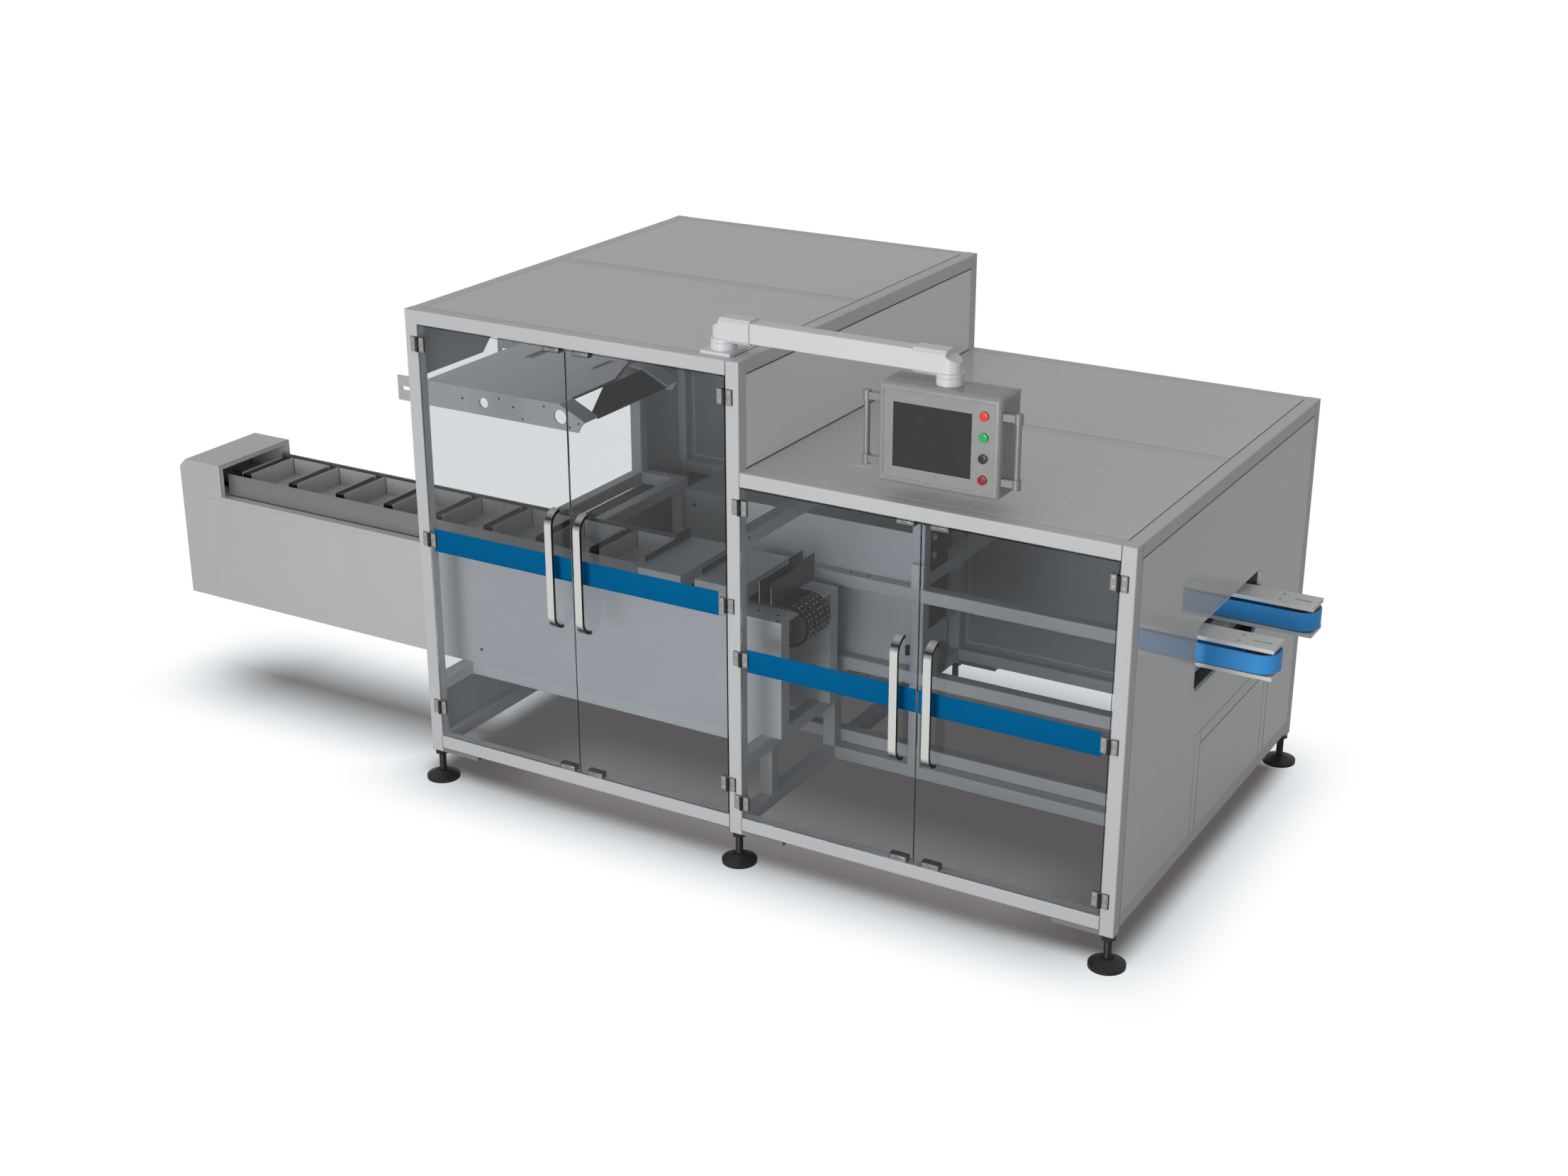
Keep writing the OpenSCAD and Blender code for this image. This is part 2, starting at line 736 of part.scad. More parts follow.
// Door leaves at the given heights on an axis at x; side is 1 for a door to the right of it
module door_leaves(x, heights, side) {
    color("darkgray") place() for (z = heights) translate([x, 0, z]) scale_side(side) door_leaf();
}

// Mirrors children to the left where side is -1
module scale_side(side) { mirror([side < 0 ? 1 : 0, 0, 0]) children(); }

module post_hinge_leaves() {
    color("darkgray") place() {
        for (z = tall_hinge_z) {
            translate([tube + hinge_in, 0, z]) post_leaf();
            translate([tall_mid_x - hinge_in, 0, z]) scale_side(-1) post_leaf();
        }
        for (z = low_hinge_z) {
            translate([tall_w + hinge_in, 0, z]) post_leaf();
            translate([total_w - tube - hinge_in, 0, z]) scale_side(-1) post_leaf();
        }
    }
}

module door_catches() {
    color("gray") place() {
        for (side = [-1, 1]) {
            catch_pair(tall_split + side * handle_inset, tall_h);
            catch_pair(low_split + side * handle_inset, low_h);
        }
    }
}

// Catches behind a pane, on the bottom rail and under the top rail
module catch_pair(x, height) {
    for (z = [rail_top, height - tube - catch_h]) {
        translate([x - catch_w / 2, glass_t + fit_gap, z]) cube([catch_w, catch_d, catch_h]);
    }
}

module tall_left_pane() { pane(tube + door_gap, tall_split - door_gap / 2, tall_h); }
module tall_right_pane() { pane(tall_split + door_gap / 2, tall_mid_x - door_gap, tall_h); }
module low_left_pane() { pane(tall_w + door_gap, low_split - door_gap / 2, low_h); }
module low_right_pane() { pane(low_split + door_gap / 2, total_w - tube - door_gap, low_h); }

module tall_left_handle() { handle(tall_split - handle_inset, tall_handle_z); }
module tall_right_handle() { handle(tall_split + handle_inset, tall_handle_z); }
module low_left_handle() { handle(low_split - handle_inset, low_handle_z); }
module low_right_handle() { handle(low_split + handle_inset, low_handle_z); }

module tall_left_hinges() { door_leaves(tube + hinge_in, tall_hinge_z, 1); }
module tall_right_hinges() { door_leaves(tall_mid_x - hinge_in, tall_hinge_z, -1); }
module low_left_hinges() { door_leaves(tall_w + hinge_in, low_hinge_z, 1); }
module low_right_hinges() { door_leaves(total_w - tube - hinge_in, low_hinge_z, -1); }

// Infeed conveyor

// Closed sheet boxes along both sides of the chain, under wider top plates
module conveyor_panels() {
    color("gainsboro") place() {
        for (y = [conv_y, conv_back_y - side_box_w])
            block([-conv_reach, y, conv_bottom], [conv_end_x, y + side_box_w, ledge_z]);
        side_tops(0);
    }
}

// Plates on top of the side boxes, grown by the given amount
module side_tops(grow) {
    for (y = [conv_y, conv_back_y - side_top_w])
        block([-conv_reach - grow, y - grow, ledge_z - side_top_t - grow],
            [conv_end_x, y + side_top_w + grow, ledge_z + grow]);
}

module conveyor_end_plate() {
    color("gainsboro") place() difference() {
        block([-conv_reach, conv_y + side_box_w, conv_bottom],
            [-conv_reach + conv_t, conv_back_y - side_box_w, ledge_z]);
        side_tops(fit_gap);
    }
}

// Hood over the conveyor's left end, closed at the end and open towards the buckets
module conveyor_cover() {
    color("gainsboro") place() difference() {
        along_y(conv_y, conv_w) cover_side(0);
        along_y(conv_y + conv_t, conv_w - 2 * conv_t) cover_side(conv_t);
    }
}

// Side outline of the hood, drawn in by the sheet thickness where inset is given
module cover_side(inset) {
    x0 = -conv_reach + inset;
    x1 = -conv_reach + cover_l + inset;
    top = cover_top - inset;
    polygon([[x0, ledge_z - inset], [x1, ledge_z - inset], [x1, top], [x0 + cover_cut, top],
        [x0, top - cover_cut]]);
}

module trough_walls() {
    x0 = -conv_reach + cover_l;
    color("silver") place() for (y = [trough_y, conv_back_y - ledge_w - trough_t]) {
        block([x0, y, ledge_z], [loading_x - fit_gap, y + trough_t, ledge_z + trough_h]);
    }
}

// Outline of the chain's loop, drawn in by the given depth, with one slat to a side of its ends
module chain_loop(inset) {
    r = chain_r - inset;
    translate([drum_left_x, drum_z - r]) square([drum_right_x - drum_left_x, 2 * r]);
    for (x = [drum_left_x, drum_right_x]) translate([x, drum_z]) circle(r, $fn = loop_sides);
}

// Joints between the slats, along the straight runs and round the ends of the loop
module slat_joints() {
    for (i = [0 : slat_count], z = [drum_z - chain_r, slat_top]) {
        translate([drum_left_x + i * slat_pitch, z]) square([slat_joint, 2 * slat_groove], center = true);
    }
    for (i = [1 : loop_sides / 2 - 1]) {
        turn = i * 360 / loop_sides;
        translate([drum_right_x, drum_z]) rotate(90 - turn) slat_joint_cut();
        translate([drum_left_x, drum_z]) rotate(90 + turn) slat_joint_cut();
    }
}

// Joint at a corner of the loop's end, on the X axis
module slat_joint_cut() {
    translate([chain_r, 0]) square([2 * slat_groove, slat_joint], center = true);
}

// Two strands of slats side by side, each an endless loop
module slat_chain() {
    color("lightslategray") place() for (y = [conv_mid_y - chain_w / 2, conv_mid_y + strand_gap / 2]) {
        along_y(y, strand_w) difference() {
            chain_loop(0);
            chain_loop(slat_t);
            slat_joints();
        }
    }
}

// Dividers between the buckets; pusher plates take their place where cartons are loaded
module bucket_dividers() {
    color("slategray") place() for (i = [0 : bucket_count - 1]) {
        x = bucket_x + i * bucket_pitch;
        loading = i >= bucket_count - 1 - hood_count;
        if (loading) along_x(x, divider_t) pusher_outline();
        if (!loading) divider_plate(x);
        if (!loading || i == bucket_count - 1) divider_plate(x + divider_gap);
    }
}

module divider_plate(x) {
    block([x, divider_y, slat_top], [x + divider_t, divider_y + divider_w, slat_top + divider_h]);
}

// Pusher plate seen along X, with a raised heel at its back
module pusher_outline() {
    y1 = divider_y + divider_w + pusher_back;
    translate([divider_y, slat_top]) square([y1 - divider_y, pusher_h]);
    translate([y1 - pusher_heel_l, slat_top]) square([pusher_heel_l, pusher_heel_h]);
}

// Sheet hoods over the chain between the pusher plates, open underneath
module loading_hoods() {
    y0 = trough_y;
    y1 = conv_back_y;
    color("lightgray") place() for (i = [0 : hood_count - 1]) {
        translate([hood_x + i * bucket_pitch, 0, ledge_z]) difference() {
            block([0, y0, 0], [hood_l, y1, hood_h]);
            block([hood_t, y0 + hood_t, -hood_t], [hood_l - hood_t, y1 - hood_t, hood_h - hood_t]);
            block([-cut_over, conv_mid_y - chain_w / 2 - hood_t, -hood_t],
                [hood_l + cut_over, conv_mid_y + chain_w / 2 + hood_t, slat_top - ledge_z + hood_t]);
        }
    }
}

// Drums that the chain runs round, with shafts to the side panels
module chain_drums() {
    color("gray") place() for (x = [drum_left_x, drum_right_x]) {
        translate([x, conv_mid_y, drum_z]) rotate([90, 0, 0]) {
            cylinder(r = drum_r - fit_gap, h = chain_w, center = true);
            cylinder(r = drum_shaft_r, h = conv_w - 2 * side_box_w, center = true);
        }
    }
}

// Carton magazine

// Side plate with a sloping tip, two holes and a slot at its left end
module magazine_side() {
    x1 = magazine_into;
    z = magazine_z + magazine_h / 2;
    difference() {
        polygon([[-magazine_reach, magazine_z], [x1 - tip_cut, magazine_z], [x1, tip_z],
            [x1 - tip_l, magazine_top], [-magazine_reach, magazine_top]]);
        translate([x1 - side_hole_in, z]) circle(d = side_hole_right_d);
        translate([x1 - side_hole_in - side_hole_gap, z]) circle(d = side_hole_left_d);
        translate([-magazine_reach + side_slot_l, z]) slot_outline(side_slot_l, side_slot_w);
    }
}

module magazine_plates() {
    color("lightgray") place() {
        for (y = [magazine_y, magazine_back_y - magazine_t]) along_y(y, magazine_t) magazine_side();
        for (y = [magazine_y, magazine_back_y - lip_w]) along_y(y, lip_w)
            sloping_outline(magazine_into - tip_l - lip_l, magazine_top);
    }
}

// Table sheet between the side plates, cut back at its right end
module magazine_floor() {
    x0 = -magazine_reach + table_in;
    x1 = magazine_into - table_short;
    notch_x = magazine_into - tip_l - lip_l - fit_gap;
    y0 = magazine_y + magazine_t;
    y1 = magazine_back_y - magazine_t;
    lip_y = magazine_y + lip_w + fit_gap;
    slot_y = y1 - table_slot_l / 2 - table_slot_w;
    color("silver") place() translate([0, 0, magazine_top - magazine_t]) linear_extrude(magazine_t) {
        difference() {
            polygon([[x0, y0], [notch_x, y0], [notch_x, lip_y], [x1, lip_y], [x1, y1 - table_corner_l],
                [x1 - table_corner_w, y1], [x0, y1]]);
            for (i = [0, 1]) translate([x1 - table_corner_w - table_slot_w - i * table_slot_gap, slot_y])
                square([table_slot_w, table_slot_l], center = true);
        }
    }
}

// Outline of a sheet that lies level below the height top and then slopes down to the tips
module sloping_outline(x0, top) {
    x1 = magazine_into;
    drop = magazine_top - top;
    bend = [x1 - tip_l, top];
    tip = [x1, tip_z - drop];
    thick = [0, magazine_t];
    polygon([[x0, top], [x0, top - magazine_t], bend - thick, tip - thick, tip, bend]);
}

// Sloping end plate under the table sheet, with a slanted front corner
module magazine_guide() {
    x0 = magazine_into - table_short;
    y0 = magazine_y + lip_w + fit_gap;
    y1 = magazine_back_y - lip_w - fit_gap;
    color("dimgray") place() difference() {
        along_y(y0, y1 - y0) sloping_outline(x0 - guide_under, magazine_top - magazine_t);
        translate([0, 0, magazine_z]) linear_extrude(magazine_h)
            polygon([[x0, y0 - cut_over], [x0 + guide_corner_w, y0 - cut_over],
                [x0 + guide_corner_w, y0], [x0, y0 + guide_corner]]);
    }
}

// Operator panel

module arm_base() {
    color("whitesmoke") place() translate([arm_x, arm_y, tall_h]) {
        translate([-arm_plate / 2, -arm_plate / 2, 0]) cube([arm_plate, arm_plate, arm_plate_t]);
        cylinder(d = collar_d, h = arm_plate_t + collar_h - fit_gap);
        cylinder(r = swivel_pin_r, h = arm_plate_t + collar_h + elbow_h / 2);
    }
}

// Socket of an elbow, seen along X: a square with cut corners
module socket_outline() {
    w = socket_w / 2;
    h = socket_h;
    c = socket_cut;
    polygon([[-w, c], [c - w, 0], [w - c, 0], [w, c], [w, h - c], [w - c, h], [c - w, h], [-w, h - c]]);
}

// Elbow with its pivot at the origin and its socket towards +X; its upright is cut at a slant
module elbow() {
    difference() {
        union() {
            cylinder(d = collar_d, h = elbow_ring_h);
            difference() {
                cylinder(d = elbow_d, h = elbow_h);
                translate([elbow_d / 2, 0, elbow_h]) rotate([0, -elbow_slant, 0])
                    translate([-2 * elbow_d, -elbow_d, 0]) cube([2 * elbow_d, 2 * elbow_d, elbow_d]);
            }
            translate([0, 0, elbow_h - socket_h]) along_x(0, socket_l) socket_outline();
        }
        translate([0, 0, -cut_over])
            cylinder(r = swivel_pin_r + pin_clear, h = elbow_h / 2 + cut_over + fit_gap);
    }
}

module swing_arm() {
    color("whitesmoke") place() translate([arm_x, arm_y, arm_z]) {
        elbow();
        translate([arm_l, 0, 0]) mirror([1, 0, 0]) elbow();
        translate([socket_l, -arm_tube_w / 2, elbow_h - socket_h + socket_wall]) rotate([90, 0, 90])
            linear_extrude(arm_l - 2 * socket_l) round_rect(arm_tube_w, arm_tube_h, tube_r);
    }
}

// Collar on the panel housing and the pin that hangs it in the arm
module panel_neck() {
    color("whitesmoke") place() translate([panel_x, arm_y, hmi_top]) {
        cylinder(d = collar_d, h = collar_h - fit_gap);
        cylinder(r = swivel_pin_r, h = collar_h + elbow_h / 2);
    }
}

// Row of flutes along a side of the housing, drawn across its depth
module flute_row() {
    pitch = (hmi_d - 4 * hmi_r) / (flute_count - 1);
    for (i = [0 : flute_count - 1]) translate([(i - (flute_count - 1) / 2) * pitch, 0])
        square([flute_w, 2 * flute_d], center = true);
}

// Housing with round edges, fluted round its sides and recessed at its front
module panel_housing() {
    color("darkgray") place() translate([panel_x, arm_y, hmi_top - hmi_h]) difference() {
        intersection() {
            along_y(-hmi_d / 2, hmi_d) translate([-hmi_w / 2, 0]) round_rect(hmi_w, hmi_h, hmi_r);
            along_x(-hmi_w / 2, hmi_w) difference() {
                translate([-hmi_d / 2, 0]) round_rect(hmi_d, hmi_h, hmi_r);
                for (z = [0, hmi_h]) translate([0, z]) flute_row();
            }
            linear_extrude(hmi_h) difference() {
                translate([-hmi_w / 2, -hmi_d / 2]) round_rect(hmi_w, hmi_d, hmi_r);
                for (x = [-1, 1]) translate([x * hmi_w / 2, 0]) rotate(90) flute_row();
            }
        }
        translate([bezel_in - hmi_w / 2, 0, bezel_in]) along_y(-hmi_d / 2 - cut_over, cut_over + bezel_d)
            round_rect(hmi_w - 2 * bezel_in, hmi_h - 2 * bezel_in, bezel_r);
        translate([screen_x - hmi_w / 2 - fit_gap, -hmi_d / 2, hmi_h - screen_top - screen_h - fit_gap])
            cube([screen_w + 2 * fit_gap, bezel_d + screen_recess, screen_h + 2 * fit_gap]);
    }
}

module panel_screen() {
    x = panel_x - hmi_w / 2 + screen_x;
    z = hmi_top - screen_top - screen_h;
    color("black") place() translate([x, hmi_front + bezel_d + screen_recess / 2, z])
        cube([screen_w, screen_recess / 2, screen_h]);
}

module panel_buttons() {
    x = panel_x + hmi_w / 2 - button_inset;
    color("firebrick") place() for (i = [0 : 3]) {
        translate([x, hmi_front + bezel_d, hmi_top - screen_top - i * button_pitch])
            rotate([90, 0, 0]) cylinder(d = button_d, h = button_h);
    }
}

// Grip rods beside the housing, each between two sockets on arms
module panel_grips() {
    color("silver") place() for (side = [-1, 1]) {
        translate([panel_x + side * (hmi_w / 2 + grip_out), grip_y, hmi_top - hmi_h / 2]) {
            cylinder(d = grip_d, h = grip_l, center = true);
            for (end = [-1, 1]) translate([0, 0, end * (grip_l - grip_socket_h) / 2]) {
                cylinder(d = grip_socket_d, h = grip_socket_h, center = true);
                rotate([0, -side * 90, 0]) cylinder(d = grip_arm_d, h = grip_out);
            }
        }
    }
}

// Exit belts

// Children for each of the two belt units, moved to its front edge
module exit_units() { for (i = [0, 1]) translate([exit_end_x, exit_y + i * exit_pitch, exit_z]) children(); }

// Plate of a belt unit, drilled and slotted at its outer end
module exit_plate_outline() {
    end = exit_l - 2 * exit_over;
    difference() {
        square([end, exit_plate_w]);
        for (side = [-1, 1]) translate([end - exit_hole_in, (exit_plate_w + side * exit_hole_gap) / 2])
            circle(d = exit_hole_d);
        translate([end - exit_slot_in - exit_slot_l / 2, exit_plate_w / 2])
            slot_outline(exit_slot_l, exit_hole_d);
    }
}

module exit_plates() {
    color("silver") place() exit_units() for (z = [0, exit_plate_t + exit_plate_gap]) {
        translate([-exit_l + exit_over, 0, z]) linear_extrude(exit_plate_t) exit_plate_outline();
    }
}

// Outline of a belt drawn in by the given depth
module belt_loop(inset) {
    r = belt_r + belt_t - inset;
    x0 = -exit_l + belt_r + belt_t;
    x1 = -belt_r - belt_t;
    translate([x0, exit_plate_w / 2 - r]) square([x1 - x0, 2 * r]);
    for (x = [x0, x1]) translate([x, exit_plate_w / 2]) circle(r);
}

module exit_belts() {
    z = exit_plate_t + (exit_plate_gap - belt_h) / 2;
    color("royalblue") place() exit_units() translate([0, 0, z]) linear_extrude(belt_h) difference() {
        belt_loop(0);
        belt_loop(belt_t);
    }
}

module exit_pulleys() {
    z = exit_plate_t + exit_plate_gap / 2;
    color("gray") place() exit_units() for (x = [-exit_l + belt_r + belt_t, -belt_r - belt_t]) {
        translate([x, exit_plate_w / 2, z]) {
            cylinder(r = belt_r - fit_gap, h = belt_h, center = true);
            cylinder(r = pulley_shaft_r, h = exit_plate_gap, center = true);
        }
    }
}

// Bars under the belt units, on posts of the inner frame
module exit_carriers() {
    color("gainsboro") place() for (x = carrier_x) {
        tube_y(x, core_y, exit_y + exit_pitch + exit_plate_w, exit_z - tube);
    }
}

// Inner frame

module core_rails() {
    color("gainsboro") place() {
        tube_x(tall_w, total_w - tube, core_y, rail_lift);
        tube_x(core_left_x, total_w - tube / 2, core_back_y + fit_gap, rail_top);
        tube_x(core_left_x, total_w - tube, core_y, core_low_z);
        tube_x(core_left_x, core_post2_x + tube, core_y, core_mid_z);
        tube_y(core_post_x, core_back_y, depth - panel_t, core_mid_z + tube + fit_gap);
    }
}

module core_posts() {
    color("gainsboro") place() {
        for (y = [conv_y, core_y]) tube_z(tall_mid_x, y, rail_top, beam_z);
        tube_z(tall_mid_x, core_y, beam_z + tube, core_low_z);
        for (x = [core_post_x, core_post2_x]) {
            tube_z(x, core_y, rail_top, core_low_z);
            tube_z(x, core_y, core_low_z + tube, core_mid_z);
        }
        for (x = carrier_x) tube_z(x, core_y, core_low_z + tube, exit_z - tube);
        tube_z(core_post_x, core_y, core_mid_z + tube, core_top);
    }
}

// Sheet behind the inner rails and the plain side of the vent box
module core_panels() {
    color("silver") place() {
        along_y(core_back_y, core_panel_t)
            panel_outline(core_left_x, core_post_x - fit_gap, core_low_z, core_panel_top);
        along_x(core_post_x + tube - core_panel_t, core_panel_t)
            panel_outline(core_back_y, core_back_y + vent_w, core_low_z, vent_z);
    }
}

module vent_panels() {
    rail_z = core_mid_z + tube + fit_gap;
    color("dimgray") place() along_x(core_post_x + tube - core_panel_t, core_panel_t) {
        panel_outline(core_back_y, core_back_y + vent_w, vent_z, rail_z);
        panel_outline(core_back_y, core_back_y + vent_w, rail_z + tube, core_top);
    }
}

// Shelf at the back of the tall cabinet, folded down in front to the floor rail
module rear_shelf() {
    x0 = table_x + tube + fit_gap;
    top = back_rail_z + tube;
    color("gainsboro") place() {
        block([x0, shelf_y, top - core_panel_t], [tall_mid_x, depth - tube, top]);
        block([x0, shelf_y, rail_top], [tall_mid_x, shelf_y + core_panel_t, top]);
    }
}

frame_posts();
long_rails();
cross_rails();
left_wall_frame();
conveyor_beams();
packing_plates();
levelling_feet();
roof_panels();
right_wall();
hatch_frame();
hatch_panel();
tall_side_wall();
left_walls();
back_walls();
post_hinge_leaves();
door_catches();
tall_left_pane();
tall_left_handle();
tall_left_hinges();
tall_right_pane();
tall_right_handle();
tall_right_hinges();
low_left_pane();
low_left_handle();
low_left_hinges();
low_right_pane();
low_right_handle();
low_right_hinges();
conveyor_panels();
conveyor_end_plate();
conveyor_cover();
trough_walls();
slat_chain();
bucket_dividers();
chain_drums();
loading_hoods();
carton_frame();
magazine_plates();
magazine_floor();
magazine_guide();
arm_base();
swing_arm();
panel_neck();
panel_housing();
panel_screen();
panel_buttons();
panel_grips();
exit_plates();
exit_belts();
exit_pulleys();
exit_carriers();
core_rails();
core_posts();
core_panels();
vent_panels();
rear_shelf();
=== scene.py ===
# %% [markdown]
# # An automatic cartoner, dressed for a studio picture
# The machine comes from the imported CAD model. This file gives it its finishes and its small fittings: satin
# paint, tinted glass, blue films, screws, seals, seams. Each step first says what the thing is on the real
# machine, then how it is made here. Every shape is a numpy array before it is a mesh.

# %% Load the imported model
import json
import math

import bpy
import numpy as np
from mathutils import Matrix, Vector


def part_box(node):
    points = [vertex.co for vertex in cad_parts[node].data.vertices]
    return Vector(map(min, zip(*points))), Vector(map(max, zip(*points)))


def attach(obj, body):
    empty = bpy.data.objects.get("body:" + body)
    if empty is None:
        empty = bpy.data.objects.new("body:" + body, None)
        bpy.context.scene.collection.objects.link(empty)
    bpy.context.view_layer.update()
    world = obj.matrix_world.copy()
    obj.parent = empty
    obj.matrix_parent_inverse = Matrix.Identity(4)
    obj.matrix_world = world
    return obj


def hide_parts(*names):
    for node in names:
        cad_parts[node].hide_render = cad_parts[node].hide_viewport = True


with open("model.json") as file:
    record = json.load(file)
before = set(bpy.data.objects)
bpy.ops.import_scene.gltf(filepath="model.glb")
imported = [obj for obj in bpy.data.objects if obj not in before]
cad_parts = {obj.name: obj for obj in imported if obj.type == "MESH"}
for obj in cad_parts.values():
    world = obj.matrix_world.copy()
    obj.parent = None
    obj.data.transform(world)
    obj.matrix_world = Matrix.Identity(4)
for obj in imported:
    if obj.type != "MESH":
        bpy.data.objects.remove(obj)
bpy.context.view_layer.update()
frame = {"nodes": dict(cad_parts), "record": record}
nodes = frame["nodes"]

# %% [markdown]
# ## Where things are
# The CAD model measures in millimetres from the front left corner of the frame's posts. The same numbers
# are easiest here too, so every shape below is worked out in those millimetres and shifted into the scene's
# metres at the end. The frame's main planes get names, because most fittings sit on one of them.

# %% The machine's own zero, its main planes, and the ways a face can look
ZERO = np.array(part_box("frame_posts")[0])
TUBE = 50
TALL_X, LOW_X, WALL_X = (50, 1313), (1363, 2696), 2746
NEAR, FAR, BACK_Y = 50, 1720, 1770
SILL, LOW_RAIL, LOW_TOP, TALL_RAIL, TALL_TOP = 65, 1279, 1329, 1650, 1700
FACING = {
    "front": np.array([[1, 0, 0], [0, 0, 1], [0, -1, 0]], float),
    "back": np.array([[-1, 0, 0], [0, 0, 1], [0, 1, 0]], float),
    "right": np.array([[0, 1, 0], [0, 0, 1], [1, 0, 0]], float),
    "left": np.array([[0, -1, 0], [0, 0, 1], [-1, 0, 0]], float),
    "top": np.array([[1, 0, 0], [0, 1, 0], [0, 0, 1]], float),
}


def millimetres(node):
    """Lowest and highest corner of a CAD node, in the machine's millimetres."""
    low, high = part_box(node)
    return (np.array(low) - ZERO) * 1000, (np.array(high) - ZERO) * 1000


print("zero at", np.round(ZERO, 4).tolist(), "metres")

# %% [markdown]
# ## The camera
# The photograph was taken from the front right, above the roof. The edges of the cabinets gave the lens and
# the place by a least squares fit, so the camera can simply be put there. It has no roll and no shift.

# %% Camera
CAMERA_AT = (4.0863, -6.6341, 3.7399)
LOOKS_DOWN, TURNS_LEFT = 21.76, 30.22
lens = bpy.data.cameras.new("studio_camera")
lens.lens = 50.19
lens.sensor_width = 36.0
lens.clip_end = 200.0
camera = bpy.data.objects.new("studio_camera", lens)
camera.location = CAMERA_AT
camera.rotation_euler = (math.radians(90 - LOOKS_DOWN), 0, math.radians(TURNS_LEFT))
bpy.context.scene.collection.objects.link(camera)
bpy.context.scene.camera = camera
print("camera at", CAMERA_AT)

# %% [markdown]
# ## Building materials from nodes
# A material is a small tree of nodes. Writing each link by hand is slow to read, so small helpers do it:
# one adds a node and fills its sockets, one does arithmetic, one mixes two colours, one lays a noise.

# %% Node helpers


def srgb(red, green, blue):
    """Colour picked from a screen, 0 to 255, as the linear numbers that Blender shades with."""
    c = np.array([red, green, blue]) / 255.0
    return (*np.where(c <= 0.04045, c / 12.92, ((c + 0.055) / 1.055) ** 2.4).tolist(), 1.0)


def fill(tree, socket, value):
    """Links a socket to another node's output, or sets it to a plain value."""
    if isinstance(value, bpy.types.NodeSocket):
        tree.links.new(value, socket)
    else:
        socket.default_value = value


def add(tree, kind, settings=None, **sockets):
    """New node. settings are its properties; each socket name has underscores for spaces."""
    node = tree.nodes.new(kind)
    for key, value in (settings or {}).items():
        setattr(node, key, value)
    for key, value in sockets.items():
        fill(tree, node.inputs[key.replace("_", " ")], value)
    return node


def calc(tree, operation, first, second=0.0, clamp=False):
    """One step of arithmetic on two values."""
    node = add(tree, "ShaderNodeMath", {"operation": operation, "use_clamp": clamp})
    fill(tree, node.inputs[0], first)
    fill(tree, node.inputs[1], second)
    return node.outputs[0]


def tint(tree, share, first, second, blend="MIX"):
    """The first colour where share is 0, the second where it is 1."""
    node = add(tree, "ShaderNodeMix", {"data_type": "RGBA", "blend_type": blend})
    fill(tree, node.inputs[0], share)
    fill(tree, node.inputs[6], first)
    fill(tree, node.inputs[7], second)
    return node.outputs[2]


def spread(tree, value, low, high, to_low, to_high):
    """Value stretched from one range to another, held at the ends."""
    limits = {"From_Min": low, "From_Max": high, "To_Min": to_low, "To_Max": to_high}
    return add(tree, "ShaderNodeMapRange", Value=value, **limits).outputs[0]


def noise(tree, place, scale, detail):
    """Cloudy grey pattern, 0 to 1, with lumps about 1 / scale metres wide."""
    return add(tree, "ShaderNodeTexNoise", Vector=place, Scale=scale, Detail=detail).outputs["Fac"]


def coordinate(tree, kind):
    """One of the texture coordinates, such as the place on the object or the surface's normal."""
    return add(tree, "ShaderNodeTexCoord").outputs[kind]


def split(tree, vector):
    """X, Y and Z of a vector, each as a value of its own."""
    return add(tree, "ShaderNodeSeparateXYZ", Vector=vector).outputs


print("node helpers ready")

# %% [markdown]
# A group is a tree that other trees use as one node. A new material comes with a Principled shader. Two of
# the materials below choose between two shaders, so a helper puts such a choice on the surface.

# %% Helpers for groups and materials


def new_group(name, inputs, outputs):
    """Empty shader group. inputs are (name, kind, value), outputs are (name, kind)."""
    group = bpy.data.node_groups.new(name, "ShaderNodeTree")
    for label, kind, value in inputs:
        socket = group.interface.new_socket(label, in_out="INPUT", socket_type="NodeSocket" + kind)
        socket.default_value = value
    for label, kind in outputs:
        group.interface.new_socket(label, in_out="OUTPUT", socket_type="NodeSocket" + kind)
    return group, group.nodes.new("NodeGroupInput").outputs, group.nodes.new("NodeGroupOutput").inputs


def new_material(name):
    """New material, with its tree and its Principled shader."""
    material = bpy.data.materials.new(name)
    material.use_nodes = True
    return material, material.node_tree, material.node_tree.nodes["Principled BSDF"]


def choose(tree, share, first, second):
    """Shows the first shader where share is 0, the second where it is 1."""
    choice = tree.nodes.new("ShaderNodeMixShader")
    for socket, value in zip(choice.inputs, (share, first.outputs[0], second.outputs[0])):
        fill(tree, socket, value)
    fill(tree, tree.nodes["Material Output"].inputs["Surface"], choice.outputs[0])


print("group and material helpers ready")

# %% [markdown]
# ## Effects that several finishes share
# Paint on sheet metal is never one flat colour. It has an orange peel of fine bumps, a tone that drifts
# over a metre, and thin bright wear on its edges. The edge is found with a Bevel node: where the rounded
# normal leans away from the flat one, there is an edge. A real bevel on every tube would do the same with
# far more faces. Nearly all of a noise lies between 0.3 and 0.7, so that is the range that is stretched.

